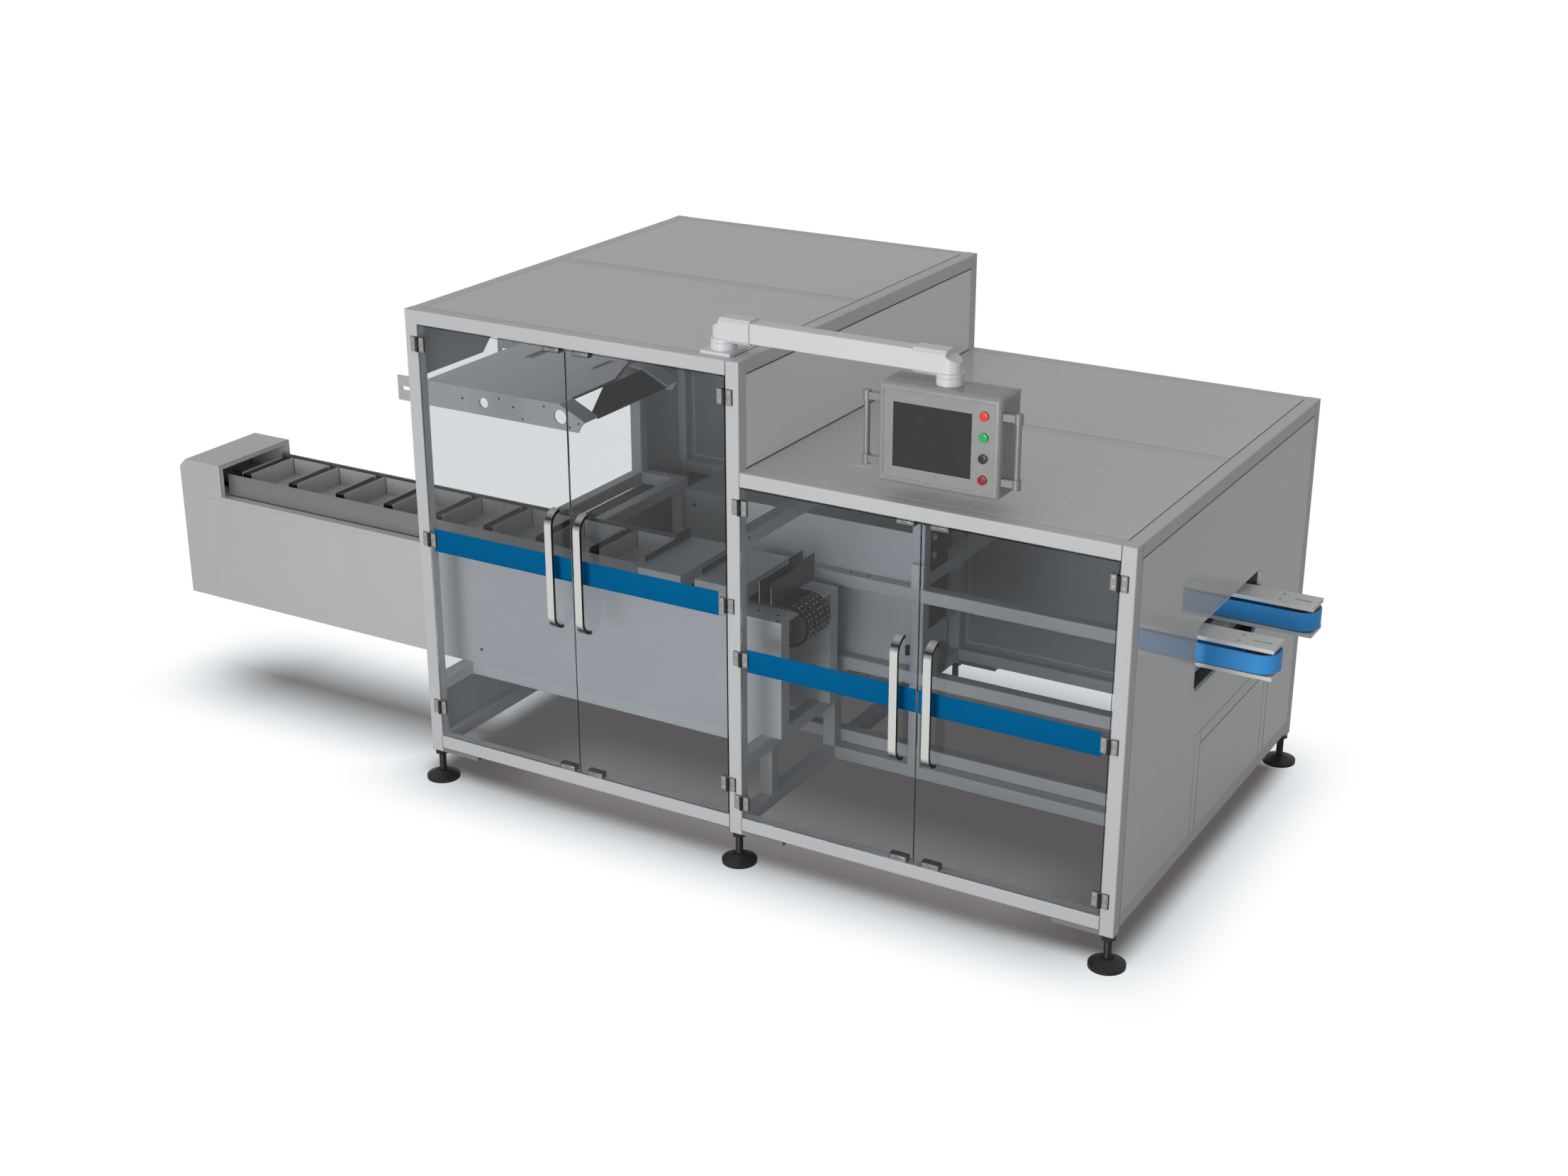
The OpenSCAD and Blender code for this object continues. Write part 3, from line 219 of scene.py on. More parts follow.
# %% Group: powder coat
GREY = (0.5, 0.5, 0.5, 1.0)
DRIFTED = (0.9, 0.9, 0.91, 1.0)
MOST = (0.3, 0.7)
FINE_PEEL, EDGE_RADIUS = 700.0, 0.003
powder_coat, given, gives = new_group(
    "powder_coat",
    [("Colour", "Color", GREY), ("Worn Colour", "Color", GREY), ("Roughness", "Float", 0.4),
     ("Peel Scale", "Float", FINE_PEEL), ("Edge Radius", "Float", EDGE_RADIUS), ("Edge Wear", "Float", 0.5)],
    [("Colour", "Color"), ("Roughness", "Float"), ("Height", "Float"), ("Edge Normal", "Vector")])
tree = powder_coat
place = coordinate(tree, "Object")
drift = noise(tree, place, 1.3, 3.0)
fleck = noise(tree, place, 45.0, 4.0)
rounded = add(tree, "ShaderNodeBevel", {"samples": 4}, Radius=given["Edge Radius"]).outputs["Normal"]
lean = add(tree, "ShaderNodeVectorMath", {"operation": "DOT_PRODUCT"})
fill(tree, lean.inputs[0], rounded)
fill(tree, lean.inputs[1], add(tree, "ShaderNodeNewGeometry").outputs["Normal"])
edge = spread(tree, lean.outputs["Value"], 0.99, 0.86, 0.0, 1.0)
edge = calc(tree, "MULTIPLY", edge, spread(tree, fleck, 0.35, 0.7, 0.35, 1.0))
edge = calc(tree, "MULTIPLY", edge, given["Edge Wear"])
shade = tint(tree, spread(tree, drift, *MOST, 0.0, 0.5), given["Colour"], DRIFTED, "MULTIPLY")
rough = calc(tree, "ADD", given["Roughness"], spread(tree, fleck, *MOST, -0.04, 0.05))
fill(tree, gives["Colour"], tint(tree, edge, shade, given["Worn Colour"]))
fill(tree, gives["Roughness"], rough)
fill(tree, gives["Height"], noise(tree, place, given["Peel Scale"], 1.0))
fill(tree, gives["Edge Normal"], rounded)
print("powder_coat:", len(tree.nodes), "nodes")

# %% [markdown]
# Stainless sheet and turned steel keep the marks of the belt or the tool that finished them: long fine
# lines. A noise that is stretched along the line gives them. The stretch is an input, so plates, rods and
# drums can each have their own direction.

# %% Group: brushed metal
GROOVED = (0.72, 0.72, 0.73, 1.0)
brushed_metal, given, gives = new_group(
    "brushed_metal",
    [("Colour", "Color", GREY), ("Roughness", "Float", 0.3), ("Stretch", "Vector", (6.0, 900.0, 900.0)),
     ("Contrast", "Float", 0.25)],
    [("Colour", "Color"), ("Roughness", "Float"), ("Height", "Float")])
tree = brushed_metal
place = coordinate(tree, "Object")
stretched = add(tree, "ShaderNodeMapping", Vector=place, Scale=given["Stretch"]).outputs[0]
lines = noise(tree, stretched, 1.0, 3.0)
cloud = noise(tree, place, 6.0, 3.0)
dark = tint(tree, 1.0, given["Colour"], GROOVED, "MULTIPLY")
share = calc(tree, "MULTIPLY", spread(tree, lines, *MOST, 0.0, 2.0), given["Contrast"], True)
rough = calc(tree, "ADD", given["Roughness"], spread(tree, cloud, *MOST, -0.05, 0.06))
fill(tree, gives["Colour"], tint(tree, share, given["Colour"], dark))
fill(tree, gives["Roughness"], calc(tree, "ADD", rough, spread(tree, lines, *MOST, -0.04, 0.05)))
fill(tree, gives["Height"], lines)
print("brushed_metal:", len(tree.nodes), "nodes")

# %% [markdown]
# Moulded plastic and rubber have a spark-eroded grain, and faces that look up collect a little dust. Both
# are small effects, but without them a black foot is a black hole in the picture.

# %% Group: moulded grain
MOTTLED = (0.012, 0.012, 0.012, 1.0)
moulded_grain, given, gives = new_group(
    "moulded_grain",
    [("Colour", "Color", GREY), ("Roughness", "Float", 0.5), ("Grain Scale", "Float", 900.0),
     ("Mottle", "Float", 0.2)],
    [("Colour", "Color"), ("Roughness", "Float"), ("Height", "Float")])
tree = moulded_grain
place = coordinate(tree, "Object")
mottle = noise(tree, place, 30.0, 3.0)
pale = tint(tree, 1.0, given["Colour"], MOTTLED, "ADD")
share = calc(tree, "MULTIPLY", spread(tree, mottle, 0.35, 0.7, 0.0, 1.0), given["Mottle"])
rough = calc(tree, "ADD", given["Roughness"], spread(tree, mottle, *MOST, -0.06, 0.06))
fill(tree, gives["Colour"], tint(tree, share, given["Colour"], pale))
fill(tree, gives["Roughness"], rough)
fill(tree, gives["Height"], noise(tree, place, given["Grain Scale"], 2.0))
print("moulded_grain:", len(tree.nodes), "nodes")

# %% Group: settled dust
DUST = (0.4, 0.39, 0.37, 1.0)
settled_dust, given, gives = new_group(
    "settled_dust", [("Colour", "Color", GREY), ("Dust Colour", "Color", DUST), ("Amount", "Float", 0.15)],
    [("Colour", "Color")])
tree = settled_dust
upward = spread(tree, split(tree, coordinate(tree, "Normal"))["Z"], 0.2, 1.0, 0.0, 1.0)
patchy = spread(tree, noise(tree, coordinate(tree, "Object"), 9.0, 5.0), 0.35, 0.75, 0.2, 1.0)
mask = calc(tree, "MULTIPLY", calc(tree, "MULTIPLY", upward, patchy), given["Amount"])
fill(tree, gives["Colour"], tint(tree, mask, given["Colour"], given["Dust Colour"]))
print("settled_dust:", len(tree.nodes), "nodes")

# %% [markdown]
# Polished bars and glass are touched every day. Fingers leave soft patches that are a little rougher than
# the rest. This group gives a roughness that wanders with them, and the mask of the patches.

# %% Group: finger marks
STREAKS = (9.0, 9.0, 1.5)
finger_marks, given, gives = new_group(
    "finger_marks", [("Roughness", "Float", 0.05), ("Marks", "Float", 0.1), ("Scale", "Float", 14.0)],
    [("Roughness", "Float"), ("Mask", "Float")])
tree = finger_marks
place = coordinate(tree, "Object")
drawn = add(tree, "ShaderNodeMapping", Vector=place, Scale=STREAKS).outputs[0]
patch = spread(tree, noise(tree, place, given["Scale"], 4.0), 0.52, 0.72, 0.0, 1.0)
streak = spread(tree, noise(tree, drawn, 6.0, 2.0), 0.35, 0.65, 0.3, 1.0)
mask = calc(tree, "MULTIPLY", patch, streak)
rough = calc(tree, "ADD", given["Roughness"], calc(tree, "MULTIPLY", mask, given["Marks"]))
fill(tree, gives["Roughness"], rough)
fill(tree, gives["Mask"], mask)
print("finger_marks:", len(tree.nodes), "nodes")

# %% [markdown]
# A polished flat bar mirrors the room: its front is bright, its sides are dark, and a bend runs from bright
# to dark to bright again. That reflection is painted into the colour here: the room is plain white, so the
# group picks bright or dark from the direction that the surface faces.

# %% Group: painted reflection on a polished bar
painted_bar_reflection, given, gives = new_group(
    "painted_bar_reflection", [("Bright", "Color", GREY), ("Dark", "Color", GREY), ("Roughness", "Float", 0.15)],
    [("Colour", "Color"), ("Roughness", "Float"), ("Height", "Float")])
tree = painted_bar_reflection
facing = split(tree, coordinate(tree, "Normal"))
side = spread(tree, calc(tree, "ABSOLUTE", facing["X"]), 0.35, 0.85, 0.0, 1.0)
bend = calc(tree, "ABSOLUTE", facing["Z"])
into = spread(tree, bend, 0.12, 0.5, 0.0, 1.0)
out = spread(tree, bend, 0.55, 0.95, 1.0, 0.25)
share = calc(tree, "MAXIMUM", side, calc(tree, "MULTIPLY", into, out))
touch = add(tree, "ShaderNodeGroup", {"node_tree": finger_marks}, Roughness=given["Roughness"], Marks=0.15)
fill(tree, gives["Colour"], tint(tree, share, given["Bright"], given["Dark"]))
fill(tree, gives["Roughness"], touch.outputs["Roughness"])
fill(tree, gives["Height"], touch.outputs["Mask"])
print("painted_bar_reflection:", len(tree.nodes), "nodes")

# %% [markdown]
# ## From groups to finishes
# A finish is one Principled shader fed by a group. The helper links whatever the group gives to the socket
# of the same meaning, and puts the height through a Bump node. Numbers that are the same all over go
# straight on the shader's sockets.

# %% Finish helper
BUMP_DEPTH = 0.00004


def finish(name, group, values, bump, dust=0.0, **sockets):
    """Material with a Principled shader. values fill the group's inputs, sockets the shader's own."""
    material, tree, shader = new_material(name)
    for key, value in sockets.items():
        fill(tree, shader.inputs[key.replace("_", " ")], value)
    effect = add(tree, "ShaderNodeGroup", {"node_tree": group})
    for key, value in values.items():
        fill(tree, effect.inputs[key], value)
    colour = effect.outputs["Colour"]
    if dust:
        dusty = add(tree, "ShaderNodeGroup", {"node_tree": settled_dust}, Colour=colour, Amount=dust)
        colour = dusty.outputs["Colour"]
    fill(tree, shader.inputs["Base Color"], colour)
    fill(tree, shader.inputs["Roughness"], effect.outputs["Roughness"])
    relief = add(tree, "ShaderNodeBump", Strength=bump, Distance=BUMP_DEPTH, Height=effect.outputs["Height"])
    if "Edge Normal" in effect.outputs:
        fill(tree, relief.inputs["Normal"], effect.outputs["Edge Normal"])
    fill(tree, shader.inputs["Normal"], relief.outputs["Normal"])
    return material


print("finish helper ready")

# %% [markdown]
# ## The paints
# The frame and the sheet are coated in one light grey, the sheet a shade darker and with more gloss. The
# arm is white, the operator panel a mid grey. Small trim is paler, mostly as a painted highlight. The inner
# frame is darker as painted shade.

# %% Paints
PALE, WHITE = (226, 227, 228), (250, 250, 250)
COAT = {"Coat_Weight": 0.5, "Coat_Roughness": 0.1}
GLOSS = {"Coat_Weight": 1.0, "Coat_Roughness": 0.02}


def paint(name, colour, rough, wear, radius=EDGE_RADIUS, worn=PALE, peel=250.0, bump=0.02, **more):
    """Powder coat that wears to a paler colour on its edges, over the radius in metres."""
    values = {"Colour": srgb(*colour), "Worn Colour": srgb(*worn), "Roughness": rough, "Edge Wear": wear,
              "Edge Radius": radius, "Peel Scale": peel}
    return finish(name, powder_coat, values, bump, **more)


frame_paint = paint("frame_paint", (200, 202, 204), 0.4, 0.35, dust=0.05)
panel_paint = paint("panel_paint", (198, 200, 202), 0.36, 0.4, 0.002, dust=0.05, **COAT)
arm_white = paint("arm_white", (220, 222, 224), 0.35, 0.6, worn=WHITE)
housing_grey = paint("housing_grey", (154, 156, 156), 0.3, 0.5, peel=300.0, bump=0.0, Metallic=0.2, **COAT)
hinge_grey = paint("hinge_grey", (158, 160, 158), 0.34, 0.6, 0.0012, (190, 192, 190), FINE_PEEL, Metallic=0.2)
wall_gloss = paint("wall_gloss", (198, 200, 200), 0.4, 0.4, 0.002, bump=0.0, **GLOSS)
plate_grey = paint("plate_grey", (234, 236, 236), 0.36, 0.6, 0.0015, peel=FINE_PEEL)
# The inner frame's darker grey is painted shade.
inner_shaded_paint = paint("inner_shaded_paint", (184, 187, 189), 0.45, 0.2, 0.002)
back_paint = paint("back_paint", (198, 200, 202), 0.45, 0.3, 0.002)
vent_dark = paint("vent_dark", (34, 36, 36), 0.45, 0.3, worn=(70, 72, 72), peel=FINE_PEEL)
# Pale trim: on beads, seams, hatch and cut edges its paleness is a painted highlight.
pale_trim_and_highlight = paint("pale_trim_and_highlight", (244, 245, 246), 0.4, 0.2, worn=WHITE, peel=FINE_PEEL)
print("eleven paints")

# %% [markdown]
# The faces of the back walls that look forward, into the cabinets, are darkened as painted shade. The
# normal tells which way a face looks, so its Y darkens the colour that is already there.

# %% Painted shade on the inside of the back walls
FORWARD_SHADE = (0.62, 0.63, 0.64, 1.0)
tree = back_paint.node_tree
base = tree.nodes["Principled BSDF"].inputs["Base Color"]
coated = base.links[0].from_socket
forward = spread(tree, split(tree, coordinate(tree, "Normal"))["Y"], -0.6, 0.4, 1.0, 0.0)
fill(tree, base, tint(tree, forward, coated, FORWARD_SHADE, "MULTIPLY"))
print("back_paint:", len(tree.nodes), "nodes")

# %% [markdown]
# ## The metals
# Trough, plates and bucket dividers are brushed stainless, the handles polished bar, the chain dark hard
# plates. All but the handles take the brushed group with a stretch along their own length.

# %% Metals


def metal(name, colour, rough, stretch, contrast, metallic, bump=0.05):
    """Brushed metal. The stretch is low along the lines and high across them."""
    values = {"Colour": srgb(*colour), "Roughness": rough, "Stretch": stretch, "Contrast": contrast}
    return finish(name, brushed_metal, values, bump, Metallic=metallic)


steel = metal("steel", (160, 161, 160), 0.34, (5.0, 500.0, 500.0), 0.3, 0.6)
tray_steel = metal("tray_steel", (208, 210, 212), 0.36, (500.0, 5.0, 500.0), 0.25, 0.25, 0.04)
# This dark steel is painted shade: on the carton table's end plate and on one face of the pushers.
shade_steel = metal("shade_steel", (109, 111, 113), 0.38, (300.0, 6.0, 300.0), 0.3, 0.7, 0.06)
divider_steel = metal("divider_steel", (196, 197, 198), 0.3, (400.0, 5.0, 400.0), 0.2, 0.15)
slat_plate = metal("slat_plate", (38, 39, 41), 0.26, (60.0, 9.0, 60.0), 0.5, 0.5)
drum_steel = metal("drum_steel", (150, 151, 152), 0.3, (400.0, 6.0, 400.0), 0.3, 0.9, 0.08)
zinc = metal("zinc", (232, 233, 233), 0.25, (700.0, 700.0, 700.0), 0.2, 0.35, 0.03)
grip_satin = metal("grip_satin", (152, 154, 154), 0.3, (700.0, 700.0, 6.0), 0.25, 0.45, 0.03)
reflection_colours = {"Bright": srgb(236, 236, 234), "Dark": srgb(46, 47, 49), "Roughness": 0.12}
# The handles' bright front and dark sides are a painted reflection.
handle_steel = finish("handle_steel", painted_bar_reflection, reflection_colours, 0.02, Metallic=0.4)
print("nine metals")

# %% [markdown]
# ## Plastics, rubber and the belts
# Feet, catches, seals, belts and films are all moulded or cast. They differ in colour, in gloss and in how
# fine their grain is, so one helper makes them. The films lie on the glass and hardly shine.

# %% Plastics and rubber


def plastic(name, colour, rough, grain=900.0, mottle=0.2, bump=0.05, **more):
    """Moulded plastic or rubber with a grain about 1 / grain metres wide."""
    values = {"Colour": srgb(*colour), "Roughness": rough, "Grain Scale": grain, "Mottle": mottle}
    return finish(name, moulded_grain, values, bump, **more)


foot_black = plastic("foot_black", (30, 31, 32), 0.42, 600.0, bump=0.2, dust=0.06)
catch_grey = plastic("catch_grey", (58, 60, 63), 0.4)
seal_black = plastic("seal_black", (52, 54, 56), 0.55, 1200.0, bump=0.1)
seal_grey = plastic("seal_grey", (120, 122, 126), 0.5, 1200.0)
screen_black = plastic("screen_black", (56, 57, 58), 0.3, 1500.0, 0.0, 0.0, Specular_IOR_Level=0.2)
belt_blue = plastic("belt_blue", (60, 166, 246), 0.42, 800.0, bump=0.1)
film_blue = plastic("film_blue", (2, 97, 149), 0.8, 1500.0, 0.05, 0.03, Specular_IOR_Level=0.02)
# This black is painted shade in gaps, sockets and behind hinge leaves, and also colours dark joints and
# screws.
shade_and_joint_black = plastic("shade_and_joint_black", (16, 17, 18), 0.5)
BUTTON_COLOURS = {
    "red": (236, 62, 42), "green": (24, 182, 88), "black": (44, 46, 48), "dark_red": (158, 24, 36)}
button_finish = {
    key: plastic("button_" + key, colour, 0.28, mottle=0.3) for key, colour in BUTTON_COLOURS.items()}
print("eight plastics and", len(button_finish), "button colours")

# %% [markdown]
# ## Tinted glass
# The doors are 8 mm panes with a light grey tint. A Principled shader with full transmission bends and
# reflects as glass does. For shadow rays it gives way to a Transparent shader, because lamps behind
# refracting glass would only reach the inside as noise.

# %% Glass
GLASS_TINT = (0.7, 0.72, 0.735, 1.0)
GLASS_SHADOW = (0.64, 0.65, 0.66, 1.0)
tinted_glass, tree, pane = new_material("tinted_glass")
marks = add(tree, "ShaderNodeGroup", {"node_tree": finger_marks}, Roughness=0.0, Marks=0.05, Scale=9.0)
fill(tree, pane.inputs["Base Color"], GLASS_TINT)
fill(tree, pane.inputs["Roughness"], marks.outputs["Roughness"])
fill(tree, pane.inputs["Transmission Weight"], 1.0)
fill(tree, pane.inputs["IOR"], 1.45)
clear = add(tree, "ShaderNodeBsdfTransparent", Color=GLASS_SHADOW)
choose(tree, add(tree, "ShaderNodeLightPath").outputs["Is Shadow Ray"], pane, clear)
print("glass ready")

# %% [markdown]
# ## Dressing the CAD model
# Each CAD node names a material slot in the record. One table turns slots into finishes. A few nodes take
# another finish than their slot's. The dark end plate of the carton table and the darker inner frame are
# painted shade, and the paler side wall of the tall cabinet is painted light.

# %% Finishes on the CAD nodes
SLOT_FINISH = {
    "frame_paint": frame_paint, "panel_paint": panel_paint, "foot_black": foot_black, "steel": steel,
    "hinge_grey": hinge_grey, "catch_grey": catch_grey, "tinted_glass": tinted_glass,
    "handle_steel": handle_steel, "slat_plastic": slat_plate, "drum_steel": drum_steel,
    "arm_white": arm_white, "housing_grey": housing_grey, "screen_black": screen_black,
    "button_red": button_finish["red"], "belt_blue": belt_blue, "vent_dark": vent_dark}
OWN_FINISH = {
    "magazine_guide": shade_steel, "magazine_plates": tray_steel, "magazine_floor": tray_steel,
    "bucket_dividers": divider_steel, "exit_plates": plate_grey, "panel_grips": grip_satin,
    "right_wall": wall_gloss, "hatch_panel": wall_gloss, "hatch_frame": wall_gloss,
    # The tall cabinet's side wall takes the paler plate grey as painted light.
    "tall_side_wall": plate_grey, "back_walls": back_paint, "core_panels": inner_shaded_paint,
    "rear_shelf": inner_shaded_paint, "core_posts": inner_shaded_paint, "core_rails": inner_shaded_paint}
for entry in frame["record"]["subparts"]:
    node = nodes[entry["node"]]
    node.material_slots[0].material = OWN_FINISH.get(entry["node"], SLOT_FINISH[entry["material_slot"]])

# %% [markdown]
# ## Shapes as arrays
# Nearly every fitting on sheet metal is one of two shapes: a rounded rectangle carried up a profile, such
# as a film, a plate, a seal or a rim, and a profile turned round an axis, such as a screw or a button. Both
# are grids, one parameter along the outline and one up the profile, so the corners of all quads follow from
# the grid's size.

# %% Shape helpers


def grid_quads(count_u, count_v, close_u, close_v):
    """Corner numbers of a grid's quads, round from (i, j) by way of (i + 1, j), wrapped where closed."""
    i, j = np.meshgrid(np.arange(count_u - (not close_u)), np.arange(count_v - (not close_v)), indexing="ij")
    here, there = i * count_v, (i + 1) % count_u * count_v
    next_j = (j + 1) % count_v
    return np.stack([here + j, there + j, there + next_j, here + next_j], -1).reshape(-1, 4)


def capped(points, hollow):
    """Grid (outline, profile, 3) as corners and faces: a closed ring where hollow, otherwise with caps."""
    count_u, count_v = points.shape[:2]
    faces = grid_quads(count_u, count_v, True, hollow).tolist()
    if not hollow:
        ring = np.arange(count_u) * count_v
        faces += [ring[::-1].tolist(), (ring + count_v - 1).tolist()]
    return points.reshape(-1, 3), faces


def slab(size, profile, corner=0.0, arc=1, hollow=False):
    """Rounded rectangle of that size carried through (inset, height) pairs. Each point is the corner's sign
    times the half size less the inset, plus what is left of the corner radius in the direction of the arc."""
    half = np.array(size, float) / 2
    profile = np.array(profile, float)
    bend = np.linspace(0, 90, arc) if arc > 1 else np.array([45.0])
    turn = np.radians(bend[None, :] + 90 * np.arange(4)[:, None])
    sign = np.repeat(np.array([[1, 1], [-1, 1], [-1, -1], [1, -1]], float), turn.shape[1], axis=0)
    way = np.stack([np.cos(turn), np.sin(turn)], -1).reshape(-1, 2)
    inset = profile[:, 0][None, :, None]
    flat = sign[:, None] * (half - np.maximum(corner, inset)) + way[:, None] * np.maximum(corner - inset, 0)
    height = np.broadcast_to(profile[:, 1][None, :, None], flat.shape[:2] + (1,))
    return capped(np.concatenate([flat, height], -1), hollow)


def turned(profile, sides):
    """Profile of (radius, height) pairs turned round the height: (r cos a, r sin a, h) for all angles a."""
    profile = np.array(profile, float)
    a = np.arange(sides) * 2 * np.pi / sides
    points = np.stack([np.outer(np.cos(a), profile[:, 0]), np.outer(np.sin(a), profile[:, 0]),
                       np.broadcast_to(profile[:, 1], (sides, len(profile)))], -1)
    return capped(points, False)


def put(shape, facing, centres):
    """Copies of a shape, laid on a face that looks that way, at each centre in the machine's millimetres."""
    corners, faces = shape
    centres = np.atleast_2d(np.array(centres, float))
    axes = FACING[facing] if isinstance(facing, str) else facing
    placed = (centres[:, None, :] + (corners @ axes)[None]).reshape(-1, 3)
    step = len(corners)
    return placed, [[corner + k * step for corner in face] for k in range(len(centres)) for face in faces]


def join(*shapes):
    """Several shapes as one: each one's corner numbers start where the last one's end."""
    starts = np.cumsum([0] + [len(corners) for corners, _ in shapes])
    faces = [[corner + start for corner in face]
             for (_, own), start in zip(shapes, starts) for face in own]
    return np.concatenate([corners for corners, _ in shapes]), faces


print("shape helpers ready")

# %% [markdown]
# From these come the small parts that recur: a box, a low disc, and a row or border of places. One helper
# makes the object itself, and says which body carries it.

# %% Small shapes, places and the piece itself


def block(low, high, bevel=0.0):
    """Box between two corners, with a small bevel on the edges of its lower and upper face."""
    low, high = np.array(low, float), np.array(high, float)
    tall = high[2] - low[2]
    profile = [(bevel, 0), (0, bevel), (0, tall - bevel), (bevel, tall)] if bevel else [(0, 0), (0, tall)]
    middle = (low + high) / 2
    return put(slab(high[:2] - low[:2], profile), "top", [middle[0], middle[1], low[2]])


def disc(radius, height, sides=12):
    """Low round plate."""
    return turned([(radius, 0), (radius, height)], sides)


def span(low, high, pitch):
    """Places from low to high, evenly spaced by about the pitch."""
    return np.linspace(low, high, max(2, int(round((high - low) / pitch)) + 1))


def round_border(half_u, half_v, pitch):
    """Points round the edge of a rectangle about zero, evenly spaced on each side, each corner once."""
    u, v = span(-half_u, half_u, pitch), span(-half_v, half_v, pitch)
    along = [np.stack([u, np.full(len(u), end)], 1) for end in (-half_v, half_v)]
    across = [np.stack([np.full(len(v) - 2, end), v[1:-1]], 1) for end in (-half_u, half_u)]
    return np.concatenate(along + across)


def piece(name, shape, body, material, sharp=35.0):
    """Mesh object from a shape in millimetres, with the given material. It rides on a CAD body."""
    corners, faces = shape
    mesh = bpy.data.meshes.new(name)
    mesh.from_pydata((ZERO + corners / 1000.0).tolist(), [], faces)
    mesh.shade_smooth()
    mesh.set_sharp_from_angle(angle=math.radians(sharp))
    mesh.materials.append(material)
    made = bpy.data.objects.new(name, mesh)
    bpy.context.scene.collection.objects.link(made)
    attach(made, body)
    print(name, "on", body, len(faces), "faces")
    return made


print("piece helper ready")

# %% [markdown]
# ## Blue films on the doors
# A blue film runs across each pair of doors at handle height. It is a thin plate with a soft edge, one for
# each pane, so that it opens with the door.

# %% Door films
DOORS = ("tall_left", "tall_right", "low_left", "low_right")
FILM_Z = {"tall": (810.0, 897.0), "low": (625.0, 708.0)}
FILM_END = {"tall_left": 72.0, "tall_right": 1279.0, "low_left": 1389.0, "low_right": 2668.0}
THIN_EDGE = [(0, 0), (0, 0.3), (0.4, 0.5)]
DOOR_GAP = 2


def pane_of(door):
    """Corners of a door's pane, the cabinet it closes, and 1 where it is hinged at the left, otherwise -1."""
    low, high = millimetres(door + "_pane")
    cabinet, side = door.split("_")
    return low, high, cabinet, 1 if side == "left" else -1


for door in DOORS:
    low, high, cabinet, side = pane_of(door)
    bottom, top = FILM_Z[cabinet]
    left, right = (FILM_END[door], high[0] - DOOR_GAP) if side == 1 else (low[0] + DOOR_GAP, FILM_END[door])
    film = slab((right - left, top - bottom), THIN_EDGE)
    piece(door + "_film", put(film, "front", [(left + right) / 2, low[1], (bottom + top) / 2]),
          door + "_door", film_blue)

# %% [markdown]
# ## Seals on the panes
# Where two panes meet, the left one has a thin seal along its front corner. It is what the eye reads as the
# line between the doors.

# %% Meeting seals
SEAL_W = 1.2
for door in ("tall_left", "low_left"):
    low, high = millimetres(door + "_pane")
    seal = slab((SEAL_W, high[2] - low[2]), [(0, 0), (0, 0.2), (0.3, 0.4)])
    piece(door + "_seal", put(seal, "front", [high[0], low[1], (low[2] + high[2]) / 2]),
          door + "_door", seal_grey)

# %% [markdown]
# ## Screws
# One pan head with a socket serves everywhere: a rim, a dome and a recess, turned with ten sides. It has
# few faces, because there are hundreds of it.

# %% Screw heads


def socket_screw(radius):
    """Pan head: up the rim, over the dome, down into the socket, as shares of the head's radius."""
    return turned(np.array([(1.0, 0), (1.0, 0.3), (0.8, 0.5), (0.5, 0.55), (0.42, 0.2)]) * radius, 10)


print("screw head:", len(socket_screw(1.0)[1]), "faces")

# %% [markdown]
# ## Hinges
# A hinge is two flat leaves. A black plate behind each leaf shows as a dark line at its right: a painted
# shadow. Black sleeves on the pin between the leaves are painted shade in the gap. Each leaf has a bevelled
# rim and two bright screws, whose dark sockets are painted shade.
# Whatever sits on the door's leaf rides on the door, and the rest stays with the posts.

# %% Hinge leaves
HINGE_Z = {"tall": (187.0, 853.0, 1580.0), "low": (127.0, 668.0, 1209.0)}
HINGE_H = 53.0
LEAF_FROM, LEAF_TO, LEAF_Y = 7.0, 28.0, -4.0
LEAF_SCREW_Z, LEAF_SCREW_R = 15.0, 4.4
SHADOW_OUT = 2.6
PIN_Y, GAP_SHADE_R = -6.0, 6.3
THIRD = HINGE_H / 6
GAP_SHADES = {"door": [(-THIRD + 0.4, THIRD - 0.4)],
           "post": [(-3 * THIRD, -THIRD - 0.1), (THIRD + 0.1, 3 * THIRD)]}
RIM = [(1.6, 0), (0, 0), (0.5, 0.5), (1.1, 0.5)]


def leaf_dress(axis, side, heights, owner):
    """Painted shade, rims and screws of the leaves on one side of a hinge line, as three shapes."""
    left, right = sorted((axis + side * LEAF_FROM, axis + side * LEAF_TO))
    middle = (left + right) / 2
    half = HINGE_H / 2
    leaf_shadows = [block((left + 0.6, LEAF_Y + 0.2, z - half), (right + SHADOW_OUT, -0.2, z + half)) for z in heights]
    pins = [(axis, PIN_Y, z) for z in heights]
    gap_shades = [put(turned([(GAP_SHADE_R, low), (GAP_SHADE_R, high)], 18), "top", pins)
               for low, high in GAP_SHADES[owner]]
    spots = np.array([(middle, LEAF_Y, z + way) for z in heights for way in (-LEAF_SCREW_Z, LEAF_SCREW_Z)])
    sockets = put(disc(2.1, 1.6, 8), "front", spots)
    rim = slab((right - left - 0.4, HINGE_H - 0.4), RIM, hollow=True)
    rims = put(rim, "front", [(middle, LEAF_Y, z) for z in heights])
    return join(*leaf_shadows, *gap_shades, sockets), rims, put(socket_screw(LEAF_SCREW_R), "front", spots)


def hinge_pieces(name, body, shapes):
    """The three pieces of a row of leaves."""
    # The dark piece of each row is painted shade and shadow.
    for kind, shape, material in zip(("dark", "rims", "screws"), shapes, (shade_and_joint_black, hinge_grey, zinc)):
        piece(name + "_hinge_" + kind, shape, body, material)


